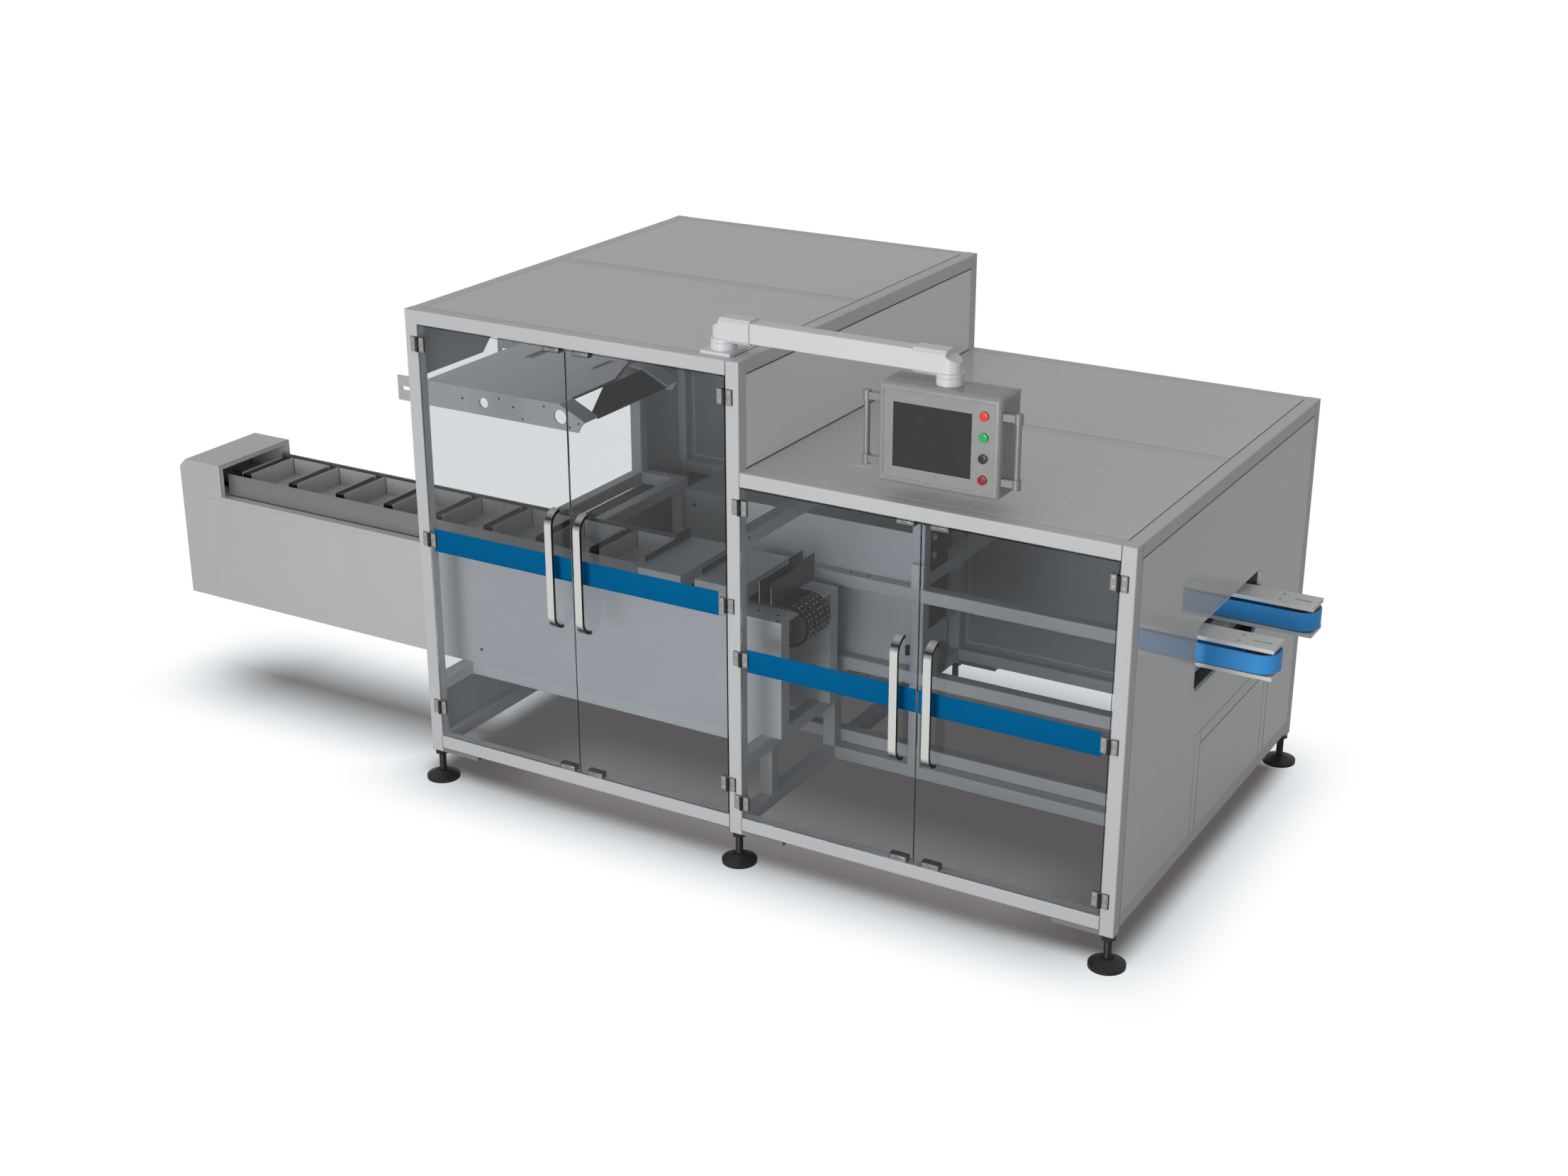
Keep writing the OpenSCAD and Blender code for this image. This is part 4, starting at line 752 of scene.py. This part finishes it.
on_posts = []
for door in DOORS:
    low, high, cabinet, side = pane_of(door)
    axis = low[0] - DOOR_GAP if side == 1 else high[0] + DOOR_GAP
    hinge_pieces(door, door + "_door", leaf_dress(axis, side, HINGE_Z[cabinet], "door"))
    on_posts.append(leaf_dress(axis, -side, HINGE_Z[cabinet], "post"))
hinge_pieces("post", "frame", [join(*shapes) for shapes in zip(*on_posts)])

# %% [markdown]
# ## Catches
# Behind the free edge of each pane, at the top and bottom rails, sits a black magnetic catch with a light
# front plate and two screws. The panes lie a hair in front of them, so the plates are very thin.

# %% Catch plates
CATCH = {"tall": (65.0, 1629.0), "low": (65.0, 1258.0)}
CATCH_W, CATCH_H, CATCH_Y = 65.0, 21.0, 8.3
CATCH_OUT, CATCH_SCREW, CATCH_PLATE_T = 60.0, 20.0, 0.14
spots = []
for door in DOORS:
    low, high, cabinet, side = pane_of(door)
    x = high[0] + DOOR_GAP - CATCH_OUT if side == 1 else low[0] - DOOR_GAP + CATCH_OUT
    spots += [(x, CATCH_Y, z + CATCH_H / 2) for z in CATCH[cabinet]]
plate = slab((CATCH_W - 4, CATCH_H - 5), [(0, 0), (0, 0.08), (0.5, CATCH_PLATE_T)])
heads = [(x + way, y - CATCH_PLATE_T, z) for x, y, z in spots for way in (-CATCH_SCREW, CATCH_SCREW)]
piece("catch_plates", put(plate, "front", spots), "frame", hinge_grey)
piece("catch_screws", put(disc(4.6, 0.04), "front", heads), "frame", zinc)
# The dark discs in the screws' sockets are painted shade.
piece("catch_sockets", put(disc(2.2, 0.08, 8), "front", heads), "frame", shade_and_joint_black)

# %% [markdown]
# ## Edges and rivets of the sheet panels
# Each roof and wall panel is a shallow tray that sits in the frame. Its folded edge is a thin bead, and a
# row of small rivets runs inside it. The bead is a ring of a low round profile, the rivets low domes. The
# light that the folded edge catches is painted, as the bead's pale colour: a painted highlight.

# %% Panel beads and rivets
BEAD = [(2.8, 0), (0, 0), (0.3, 0.2), (1.0, 0.35), (1.9, 0.35), (2.6, 0.2)]
RIVET_IN, RIVET_PITCH = 24.0, 255.0
rivet = turned([(3.2, 0), (2.9, 0.8), (1.6, 1.5), (0.7, 1.7)], 8)


def middle_of(facing, level, low_u, high_u, low_v, high_v):
    """Middle of a rectangle on the plane at that level; u and v are the plane's own two directions."""
    axes = np.abs(FACING[facing])
    return axes[0] * (low_u + high_u) / 2 + axes[1] * (low_v + high_v) / 2 + axes[2] * level


def panel_trim(facing, level, low_u, high_u, low_v, high_v):
    """Bead ring along the rectangle's edge, and rivets round a border inside it."""
    size = (high_u - low_u - 1, high_v - low_v - 1)
    base = middle_of(facing, level, low_u, high_u, low_v, high_v)
    dots = round_border(size[0] / 2 - RIVET_IN, size[1] / 2 - RIVET_IN, RIVET_PITCH)
    ring = put(slab(size, BEAD, hollow=True), facing, base)
    return ring, put(rivet, facing, base + dots @ FACING[facing][:2])


TALL_BAR, LOW_BAR, BACK_BAR = (860, 910), (898, 948), (610, 660)
LEFT_POST, TABLE_RAIL = (1376, 1426), 240
PANELS = {
    "roof": [("top", TALL_TOP, *TALL_X, NEAR, TALL_BAR[0]), ("top", TALL_TOP, *TALL_X, TALL_BAR[1], FAR),
             ("top", LOW_TOP, *LOW_X, NEAR, LOW_BAR[0]), ("top", LOW_TOP, *LOW_X, LOW_BAR[1], FAR)],
    "right_wall": [("right", WALL_X, NEAR, FAR, SILL, LOW_RAIL)],
    "tall_side": [("right", LOW_X[0], NEAR, FAR, LOW_TOP, TALL_RAIL)],
    "back_wall": [("back", BACK_Y, *TALL_X, SILL, BACK_BAR[0]),
                  ("back", BACK_Y, *TALL_X, BACK_BAR[1], TALL_RAIL),
                  ("back", BACK_Y, *LOW_X, SILL, LOW_RAIL)],
    "left_wall": [("left", 0, LEFT_POST[1], FAR, SILL, TALL_RAIL),
                  ("left", 0, NEAR, LEFT_POST[0], SILL, TABLE_RAIL)],
}
for name, panels in PANELS.items():
    beads, rivets = zip(*[panel_trim(*panel) for panel in panels])
    # The beads' pale colour is a painted highlight.
    piece(name + "_beads", join(*beads), "frame", pale_trim_and_highlight)
    piece(name + "_rivets", join(*rivets), "frame", pale_trim_and_highlight)

# %% [markdown]
# ## Joints that read as lines
# Where a wall meets a rail, the gap is deep and stays dark: above and below the side wall of the tall
# cabinet, along the ends of the roofs, above the right wall, where the front rails butt against the posts,
# and over the service hatch. A thin seal stands for each. The upright edges of the hatch are pale strips
# instead, a painted highlight.

# %% Joint lines


def line(facing, start, end, width):
    """Thin seal from one point to another along one of the face's own directions."""
    start, end = np.array(start, float), np.array(end, float)
    run = np.abs(FACING[facing][:2] @ (end - start))
    return put(slab(np.maximum(run, width), THIN_EDGE), facing, (start + end) / 2)


LONG_JOINTS = [("right", LOW_X[0], TALL_RAIL + 0.5, 4), ("right", LOW_X[0], LOW_TOP + 2, 4),
               ("top", TALL_X[1], TALL_TOP, 2), ("top", LOW_X[1], LOW_TOP, 2),
               ("right", WALL_X, LOW_RAIL + 0.5, 2)]
BUTTED = [(TALL_X[1], TALL_RAIL, TALL_TOP), (LOW_X[1], LOW_RAIL, LOW_TOP), (LOW_X[0], LOW_RAIL, LOW_TOP)]
BUTTED += [(x, SILL - TUBE, SILL) for x in TALL_X + LOW_X]
HATCH_FRAME_Y, HATCH_FRAME_TOP = (663, 1429), 442
HATCH_Y, HATCH_TOP = (713, 1379), 392
joints = [line(facing, (x, NEAR, z), (x, FAR, z), width) for facing, x, z, width in LONG_JOINTS]
joints += [line("front", (x, 0, bottom), (x, 0, top), 1.4) for x, bottom, top in BUTTED]
joints += [line("right", (WALL_X, near, z), (WALL_X, far, z), 0.9)
           for (near, far), z in ((HATCH_FRAME_Y, HATCH_FRAME_TOP), (HATCH_Y, HATCH_TOP))]
piece("dark_joints", join(*joints), "frame", seal_black)
# The pale upright strips of the hatch are a painted highlight.
lit = [line("right", (WALL_X, y + 2, SILL), (WALL_X, y + 2, HATCH_TOP), 2) for y in HATCH_FRAME_Y + HATCH_Y]
piece("hatch_edge_highlights", join(*lit), "frame", pale_trim_and_highlight)

# %% [markdown]
# ## Slots and the exit opening
# The low roof has four slots to lift it by, and the right wall has the opening for the exit belts. Their
# cut edges are pale, a painted highlight. The edge of the opening is a ring of a thin profile, that of a
# slot a short bar. Behind the opening it is dark: a dark grey sheet that closes the lane behind the belts
# is painted shade.

# %% Cut edges
SLOT_IN, SLOT_Y = 315, (265, 617)
SLOT_L, SLOT_W = 88.0, 9.0
OPENING_Y, OPENING_Z, OPENING_W, OPENING_H = 600, 620, 632, 237
OPENING_EDGE = [(2.6, -8), (0, 0), (0.4, 0.5), (2.2, 0.5)]
EXIT_SHADE_WALL = (2430, 1233, 470), (2733, 1235, 900)
EXIT_SHADE_FLOOR = (2690, 640, 618), (2733, 1233, 620)
# The pale slot and opening edges are a painted highlight.
slot_edges = [line("top", (x - SLOT_L / 2, y - 1, LOW_TOP), (x + SLOT_L / 2, y - 1, LOW_TOP), SLOT_W - 2)
              for x in (LOW_X[0] + SLOT_IN, LOW_X[1] - SLOT_IN) for y in SLOT_Y]
piece("roof_slot_edges", join(*slot_edges), "frame", pale_trim_and_highlight)
edge = slab((OPENING_W + 5, OPENING_H + 5), OPENING_EDGE, corner=32.0, arc=6, hollow=True)
edge = put(edge, "right", [WALL_X, OPENING_Y + OPENING_W / 2, OPENING_Z + OPENING_H / 2])
piece("exit_opening_edge", edge, "frame", pale_trim_and_highlight)
# A dark grey sheet behind the belts is painted shade.
piece("exit_shade", join(block(*EXIT_SHADE_WALL), block(*EXIT_SHADE_FLOOR)), "frame", catch_grey)

# %% [markdown]
# ## The conveyor's front skin
# The long side of the conveyor is closed by a separate sheet, held by two screws. Its edge is the fine line
# that runs along the top and down the left end, drawn as a pale strip: a painted highlight. The hood has a
# folded lip round its open end.

# %% Conveyor skin
low, high = millimetres("conveyor_panels")
SKIN_X, SKIN_Z, SEAM_Z = (-1247.0, high[0]), (low[2], 714.0), 717.5
SKIN_EDGE = [(0, 0), (0, 1.0), (0.8, 1.8), (1.2, 1.8)]
SKIN_SCREWS = [(96, low[1] - 1.8, 352), (1216, low[1] - 1.8, 352)]
skin = slab((SKIN_X[1] - SKIN_X[0], SKIN_Z[1] - SKIN_Z[0]), SKIN_EDGE)
skin = put(skin, "front", [np.mean(SKIN_X), low[1], np.mean(SKIN_Z)])
piece("conveyor_skin", skin, "frame", panel_paint)
piece("skin_screws", put(socket_screw(6.0), "front", SKIN_SCREWS), "frame", catch_grey)
# The pale seam strips are a painted highlight.
seams = [line("front", (SKIN_X[0], low[1], SEAM_Z), (SKIN_X[1], low[1], SEAM_Z), 2),
         line("front", (SKIN_X[0] - 3, low[1], SKIN_Z[0]), (SKIN_X[0] - 3, low[1], SEAM_Z), 2)]
piece("skin_seams", join(*seams), "frame", pale_trim_and_highlight)

# %% Hood lip
low, high = millimetres("conveyor_cover")
LIP, LIP_BACK, LIP_OUT = 16.0, 3, 0.6
lip_sides = [(low[1], low[2], low[1] + LIP, high[2]), (high[1] - LIP, low[2], high[1], high[2]),
             (low[1] + LIP, high[2] - LIP, high[1] - LIP, high[2])]
lips = [block((high[0] - LIP_BACK, near, bottom), (high[0] + LIP_OUT, far, top))
        for near, bottom, far, top in lip_sides]
piece("hood_lip", join(*lips), "frame", panel_paint)

# %% [markdown]
# ## Buckets and chain
# A bucket is a sheet box between two plates of neighbouring pairs. Between the plates of one pair, and in
# the back corner of each bucket, black blocks are painted shade. The taller pusher plates near the right end
# have a thin dark sheet on one face, also painted shade.

# %% Buckets, and painted shade in them and on the pushers
PITCH, PAIR, PLATE_T = 240.0, 47.0, 3.0
BUCKET_X = 1261.0 - PITCH * np.arange(10, 2, -1)
BUCKET_Y, WING_Y, CORNER_T = (297.5, 540.0), 522, 1.6
PLATE_Z = (746.0, 818.0)
PUSHER_X = (781.0, 1021.0, 1261.0, 1308.0)
PUSHER_Y, PUSHER_H, HEEL_Y, HEEL_H, SHADE_SHEET_T = (297.5, 600.5), 84.0, 495.5, 102.0, 0.4
starts, ends = BUCKET_X + PAIR + PLATE_T, BUCKET_X + PITCH
near, far = BUCKET_Y
bottom, top = PLATE_Z
floors = [block((a, near, bottom + 0.2), (b, far, bottom + 0.8)) for a, b in zip(starts, ends)]
backs = [block((a, far, bottom), (b, far + 1.5, top - 3)) for a, b in zip(starts, ends)]
wings = [block((a - PLATE_T, WING_Y, bottom), (a, far - CORNER_T, top)) for a in starts]
piece("bucket_sheets", join(*floors, *backs, *wings), "frame", divider_steel)
# Black blocks between the plates of a pair and in the back corners are painted shade.
pair_shades = [block((x + PLATE_T, near + 1, bottom), (x + PAIR, WING_Y - 1, top - 6)) for x in BUCKET_X]
corners = [block((a, far - CORNER_T, bottom), (a + CORNER_T, far - 0.1, top)) for a in starts]
piece("bucket_shadows", join(*pair_shades, *corners), "frame", shade_and_joint_black)
# Thin dark sheets on one face of the pushers are painted shade.
knee, heel, shade_far = bottom + PUSHER_H - 1, bottom + HEEL_H - 1, PUSHER_Y[1] - 1
shade_sheets = [block((x + PLATE_T, PUSHER_Y[0] + 1, bottom), (x + PLATE_T + SHADE_SHEET_T, shade_far, knee)) for x in PUSHER_X]
shade_sheets += [block((x + PLATE_T, HEEL_Y + 1, knee), (x + PLATE_T + SHADE_SHEET_T, shade_far, heel)) for x in PUSHER_X]
piece("pusher_shade_sheets", join(*shade_sheets), "frame", shade_steel)

# %% [markdown]
# Along the foot of the trough runs a narrow groove, whose dark colour is painted shade, and the top plates
# are held by screws at their ends. Below, the slats of the chain meet at joints that cross the buckets'
# floors as dark lines. Where the chain turns round its right drum, each slat shows rows of bright bolts.

# %% Trough groove, slat joints and bolts
PLATE_SCREWS = [(1274, 273, 730), (1354, 270, 730), (1379, 221, 730)]
DRUM_X, DRUM_Z, CHAIN_R, SLATS = 1364.0, 668.0, 78.0, 12
SLAT_L = 2 * CHAIN_R * math.sin(math.pi / SLATS)
SLAT_R = CHAIN_R * math.cos(math.pi / SLATS)
STRANDS = ((330.0, 409.0), (411.0, 490.0))
BOLT_Y = [y for front, rear in STRANDS for y in (front + 14, front + 34, rear - 14)]
low, high = millimetres("trough_walls")
# The groove's dark strip is painted shade.
groove = line("top", (low[0], low[1] - 3.5, low[2]), (high[0], low[1] - 3.5, low[2]), 6)
plate_screws = put(socket_screw(5.5), "top", PLATE_SCREWS)
joint_z = millimetres("slat_chain")[1][2] + 0.7
slat_joints = [line("top", (x, STRANDS[0][0], joint_z), (x, STRANDS[1][1], joint_z), 1.2)
               for x in np.arange(DRUM_X - SLAT_L / 2, low[0], -SLAT_L)]
piece("conveyor_shadows", join(groove, plate_screws, *slat_joints), "frame", shade_and_joint_black)
bolts = []
for turn in np.arange(SLATS) * 2 * np.pi / SLATS:
    c, s = math.cos(turn), math.sin(turn)
    if c > -0.2:
        spots = [(DRUM_X + SLAT_R * c - way * s, y, DRUM_Z + SLAT_R * s + way * c)
                 for y in BOLT_Y for way in (-9, 9)]
        bolts.append(put(socket_screw(3.2), np.array([[-s, 0, c], [0, -1, 0], [c, 0, s]]), spots))
piece("slat_bolts", join(*bolts), "frame", zinc)

# %% [markdown]
# ## The operator panel
# Four buttons stand in collars beside the screen. A button is a cap with a rolled edge in a ring, both
# turned. The collars and caps take the place of the plain CAD buttons.

# %% Buttons
CAP = np.array([(0.97, 0), (0.97, 7.6 / 15), (0.94, 8.4 / 15), (0.85, 8.8 / 15), (0.35, 8.9 / 15)])
COLLAR = np.array([(1.0, 0), (1.0, 0.6 / 15), (0.97, 0.9 / 15)])
BUTTON_SIDES = 40
low, high = millimetres("panel_buttons")
button_r = (high[0] - low[0]) / 2
button_x = (high[0] + low[0]) / 2
button_z = np.linspace(high[2] - button_r, low[2] + button_r, len(BUTTON_COLOURS))
places = [(button_x, high[1], z) for z in button_z]
cap = turned(CAP * button_r, BUTTON_SIDES)
for key, place in zip(BUTTON_COLOURS, places):
    piece("button_" + key, put(cap, "front", place), "operator_panel", button_finish[key])
rings = put(turned(COLLAR * button_r, BUTTON_SIDES), "front", places)
collars = piece("button_collars", rings, "operator_panel", housing_grey)
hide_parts("panel_buttons")

# %% [markdown]
# Each grip is held by two flat brackets that reach from the housing to the rod's ends.

# %% Grip brackets
grip_low, grip_high = millimetres("panel_grips")
case_low, case_high = millimetres("panel_housing")
GRIP_Y = (grip_low[1] + grip_high[1]) / 2
BRACKET_H, BRACKET_T, BRACKET_IN, SOCKET_R = 26.0, 9.0, 17, 14.0
brackets = []
for rod, wall in ((grip_low[0] + SOCKET_R, case_low[0]), (grip_high[0] - SOCKET_R, case_high[0])):
    for z in (grip_low[2] + BRACKET_IN, grip_high[2] - BRACKET_IN):
        corner = (min(rod, wall), GRIP_Y - BRACKET_T, z - BRACKET_H / 2)
        brackets.append(block(corner, (max(rod, wall), GRIP_Y + BRACKET_T, z + BRACKET_H / 2), 2.0))
piece("grip_brackets", join(*brackets), "operator_panel", grip_satin)

# %% [markdown]
# ## Bolts on the magazine and the inner frame
# The magazine's side plate carries a loose row of bolts. Inside, the rails and sheets of the inner frame
# have screw holes, a bracket on the middle post, a latch, and two black vents with ribs, bosses and a
# toothed edge.

# %% Magazine bolts and inner fittings
PLATE_Y = millimetres("magazine_plates")[0][1]
MAGAZINE_BOLTS = [(-269, 1171), (-92, 1196), (-27, 1172), (119, 1197), (17, 1132), (278, 1153), (237, 1133)]
RAIL_SCREWS = [(x, 693, 757) for x in (1013, 1114, 1410, 1484)]
SIDE_SCREW, SHELF_HOLE = (1363, 65, 1085), (290, 1403, 597)
LATCH = (1629, 704, 476), (1643, 718, 514)
POST_BRACKET = (1673, 650, 767), (1722, 668, 857)
# The shelf hole is a dark disc of painted shade.
dark_fittings = join(
    put(socket_screw(4.6), "front", [(x, PLATE_Y, z) for x, z in MAGAZINE_BOLTS]),
    put(socket_screw(5.0), "top", RAIL_SCREWS), put(socket_screw(5.0), "right", SIDE_SCREW),
    put(disc(7.0, 0.4, 16), "front", SHELF_HOLE), block(*LATCH, 1.5))
piece("inner_dark_fittings", dark_fittings, "frame", catch_grey)
piece("post_bracket", block(*POST_BRACKET, 2.0), "frame", frame_paint)

# %% Vents
VENT_X, VENT_Y = 1715.0, (718.0, 865.0)
VENTS = ((592.0, 757.0), (807.0, 1002.0))
BOSSES = [(VENT_X, 742, 868), (VENT_X, 742, 936)]


def vent_lines(start, end, inset, pitch, width):
    """Short level bars from start to end, spaced by about the pitch over both vents."""
    heights = [z for low, high in VENTS for z in span(low + inset, high - inset, pitch)]
    return join(*[line("right", (VENT_X, start, z), (VENT_X, end, z), width) for z in heights])


ribs = vent_lines(VENT_Y[0] + 34, VENT_Y[1] - 12, 14, 11, 3)
teeth = vent_lines(VENT_Y[1] - 7, VENT_Y[1] - 1, 8, 14, 6)
boss = turned([(13, 0), (13, 4), (11, 6), (5, 6), (5, 10), (3, 11)], 18)
piece("vent_ribs", ribs, "frame", catch_grey)
piece("vent_teeth", teeth, "frame", panel_paint)
piece("vent_bosses", put(boss, "right", BOSSES), "frame", hinge_grey)

# %% [markdown]
# Seen through the glass, the inner faces of the walls have folded borders. Each is a low flat ring.

# %% Inner borders of the walls
BORDER = [(7, 0), (0, 0), (0, 1.6), (7, 1.6)]
BORDERS = [("front", 1758, 1379, 2680, 86, 1258), ("front", 1758, 66, 1297, 676, 1634),
           ("right", 12, 1442, 1704, 680, 1634)]


def border(facing, level, low_u, high_u, low_v, high_v):
    """Flat ring on the plane at that level, between the given limits of the plane's own two directions."""
    ring = slab((high_u - low_u, high_v - low_v), BORDER, hollow=True)
    return put(ring, facing, middle_of(facing, level, low_u, high_u, low_v, high_v))


piece("wall_borders", join(*[border(*limits) for limits in BORDERS]), "frame", panel_paint)

# %% [markdown]
# ## Feet
# The screws of the feet are threaded. A thread is a radius that rises and falls with the height and drifts
# with the angle, so one formula over angle and height draws it.

# %% Foot threads
THREAD_PITCH, THREAD_R, THREAD_DEPTH, THREAD_SHARP = 3.0, 12.0, 1.3, 60.0
FOOT_X, FOOT_Y = (25, 1338, 2721), (25, 1745)
angles = np.linspace(0, 2 * np.pi, 24, endpoint=False)
climb = np.linspace(34.0, 101.0, 90)
wave = np.abs(((climb[None, :] / THREAD_PITCH - angles[:, None] / (2 * np.pi)) % 1.0) * 2 - 1)
radius = THREAD_R + THREAD_DEPTH * wave
thread = capped(np.stack([radius * np.cos(angles)[:, None], radius * np.sin(angles)[:, None],
                          np.broadcast_to(climb, radius.shape)], -1), False)
foot_z = millimetres("levelling_feet")[0][2]
feet = [(x, y, foot_z) for x in FOOT_X for y in FOOT_Y]
piece("foot_threads", put(thread, "top", feet), "frame", foot_black, THREAD_SHARP)

# %% [markdown]
# ## Floor, light and white surround
# The studio is a pale floor and a white surround. A camera ray, also one that glass passes on, sees them as
# white. The floor's shadow is painted: where the machine and its conveyor stand over it, each paints a soft
# dark rectangle, whose edge fades over a third of a metre to both sides, and right under the cabinets it is
# darkest. A strip under the front is painted less dark, a painted pool of light from the front. Mirrors see
# a share of all this.
# Every other ray sees a plain grey floor and a dim sky, so the machine is lit at a normal level.

# %% Floor helpers


def seen_directly(tree, share=0.0):
    """1 for rays from the camera, also through glass, the share for mirrors, 0 for rays that carry light."""
    rays = add(tree, "ShaderNodeLightPath").outputs
    first = calc(tree, "MAXIMUM", rays["Is Camera Ray"], rays["Is Transmission Ray"])
    direct = calc(tree, "LESS_THAN", calc(tree, "ADD", rays["Diffuse Depth"], rays["Glossy Depth"]), 0.5)
    sharp = calc(tree, "LESS_THAN", rays["Diffuse Depth"], 0.5)
    mirrored = calc(tree, "MULTIPLY", calc(tree, "MULTIPLY", rays["Is Glossy Ray"], sharp), share)
    return calc(tree, "MAXIMUM", calc(tree, "MULTIPLY", first, direct), mirrored)


def soft_edge(tree, along, low, high, fade):
    """1 well between low and high, 0 well outside; half way at the two ends, over the fade to both sides."""
    off = calc(tree, "ABSOLUTE", calc(tree, "SUBTRACT", along, (low + high) / 2))
    node = add(tree, "ShaderNodeMapRange", {"interpolation_type": "SMOOTHSTEP"}, Value=off,
               From_Min=(high - low) / 2 - fade, From_Max=(high - low) / 2 + fade, To_Min=1.0, To_Max=0.0)
    return node.outputs[0]


def soft_box(tree, place, low, high, fade):
    """Soft rectangle between two corners on the floor: the product of its two soft edges."""
    along = soft_edge(tree, place["X"], low[0], high[0], fade)
    return calc(tree, "MULTIPLY", along, soft_edge(tree, place["Y"], low[1], high[1], fade))


print("floor helpers ready")

# %% Floor
SHADOW_FADE, CORE_FADE = 0.32, 0.06
MIRRORED_FLOOR = 0.3
BELT_SIDE = 0.12
LIT_LOW, LIT_HIGH, LIT_FADE = (-0.5, -0.77), (1.62, -0.36), 0.2
WHITE_RGB = (1.0, 1.0, 1.0, 1.0)
LIT_RGB = (0.23, 0.215, 0.21, 1.0)
SHADE_RGB = (0.115, 0.105, 0.103, 1.0)
HALF_RGB = (0.70, 0.74, 0.765, 1.0)
PLAIN_RGB = (0.36, 0.36, 0.36, 1.0)
REACH, FLOOR_POINTS = 30.0, 5
floor_white, tree, shader = new_material("floor_white")
tree.nodes.remove(shader)
spot = split(tree, coordinate(tree, "Object"))
body_low, body_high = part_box("frame_posts")
belt_low, belt_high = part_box("conveyor_panels")
belt_side = np.array(body_low)[:2] - (BELT_SIDE, 0.0)
# Painted shadow of the machine and the conveyor on the floor.
wide = calc(tree, "MAXIMUM", soft_box(tree, spot, belt_side, body_high, SHADOW_FADE),
            soft_box(tree, spot, belt_low, belt_high, SHADOW_FADE))
core = soft_box(tree, spot, belt_side + CORE_FADE, np.array(body_high)[:2] - (0.0, CORE_FADE), CORE_FADE)
shaded = tint(tree, spread(tree, wide, 0.0, 0.3, 0.0, 1.0), WHITE_RGB, HALF_RGB)
shaded = tint(tree, spread(tree, wide, 0.3, 1.0, 0.0, 1.0), shaded, SHADE_RGB)
shaded = tint(tree, core, shaded, SHADE_RGB)
# A painted pool of light under the front.
shaded = tint(tree, soft_box(tree, spot, LIT_LOW, LIT_HIGH, LIT_FADE), shaded, LIT_RGB)
glow = add(tree, "ShaderNodeEmission", Color=shaded, Strength=1.0)
plain = add(tree, "ShaderNodeBsdfDiffuse", Color=PLAIN_RGB)
choose(tree, seen_directly(tree, MIRRORED_FLOOR), plain, glow)
mesh = bpy.data.meshes.new("studio_floor")
along = np.linspace(-REACH, REACH, FLOOR_POINTS)
u, v = np.meshgrid(along, along, indexing="ij")
points = np.stack([u, v, np.zeros_like(u)], -1).reshape(-1, 3)
mesh.from_pydata(points.tolist(), [], grid_quads(FLOOR_POINTS, FLOOR_POINTS, False, False).tolist())
mesh.materials.append(floor_white)
floor = bpy.data.objects.new("studio_floor", mesh)
bpy.context.scene.collection.objects.link(floor)
print("floor", 2 * REACH, "m wide")

# %% [markdown]
# The sky is white for the camera and dim for light, and dimmer still towards the right, where the
# photograph shades the end wall. One large softbox stands far in front of the machine.

# %% Sky and lamp
AMBIENT, MIRRORED_SKY, RIGHT_SHARE = 0.53, 0.5, 0.66
KEY_AT, KEY_TARGET = (0.8, -8.0, 1.7), (0.3, 0.0, 0.9)
KEY_SIZE, KEY_POWER = 2.6, 280.0
world = bpy.data.worlds.new("studio_surround")
world.use_nodes = True
bpy.context.scene.world = world
tree = world.node_tree
sky = tree.nodes["Background"]
rays = add(tree, "ShaderNodeLightPath").outputs
dimmer = spread(tree, split(tree, coordinate(tree, "Generated"))["X"], 0.0, 1.0, 1.0, RIGHT_SHARE)
level = calc(tree, "MULTIPLY", spread(tree, rays["Is Glossy Ray"], 0.0, 1.0, AMBIENT, MIRRORED_SKY), dimmer)
fill(tree, sky.inputs["Color"], WHITE_RGB)
fill(tree, sky.inputs["Strength"], calc(tree, "MAXIMUM", seen_directly(tree), level))
lamp = bpy.data.lights.new("key_softbox", "AREA")
lamp.size = KEY_SIZE
lamp.energy = KEY_POWER
softbox = bpy.data.objects.new("key_softbox", lamp)
softbox.location = KEY_AT
way = np.array(KEY_TARGET) - np.array(KEY_AT)
tilt = math.atan2(math.hypot(way[0], way[1]), -way[2])
softbox.rotation_euler = (tilt, 0, math.atan2(way[0], -way[1]) + math.pi)
bpy.context.scene.collection.objects.link(softbox)
bpy.context.scene.view_settings.view_transform = "Standard"
print("sky at", AMBIENT, "and one softbox")
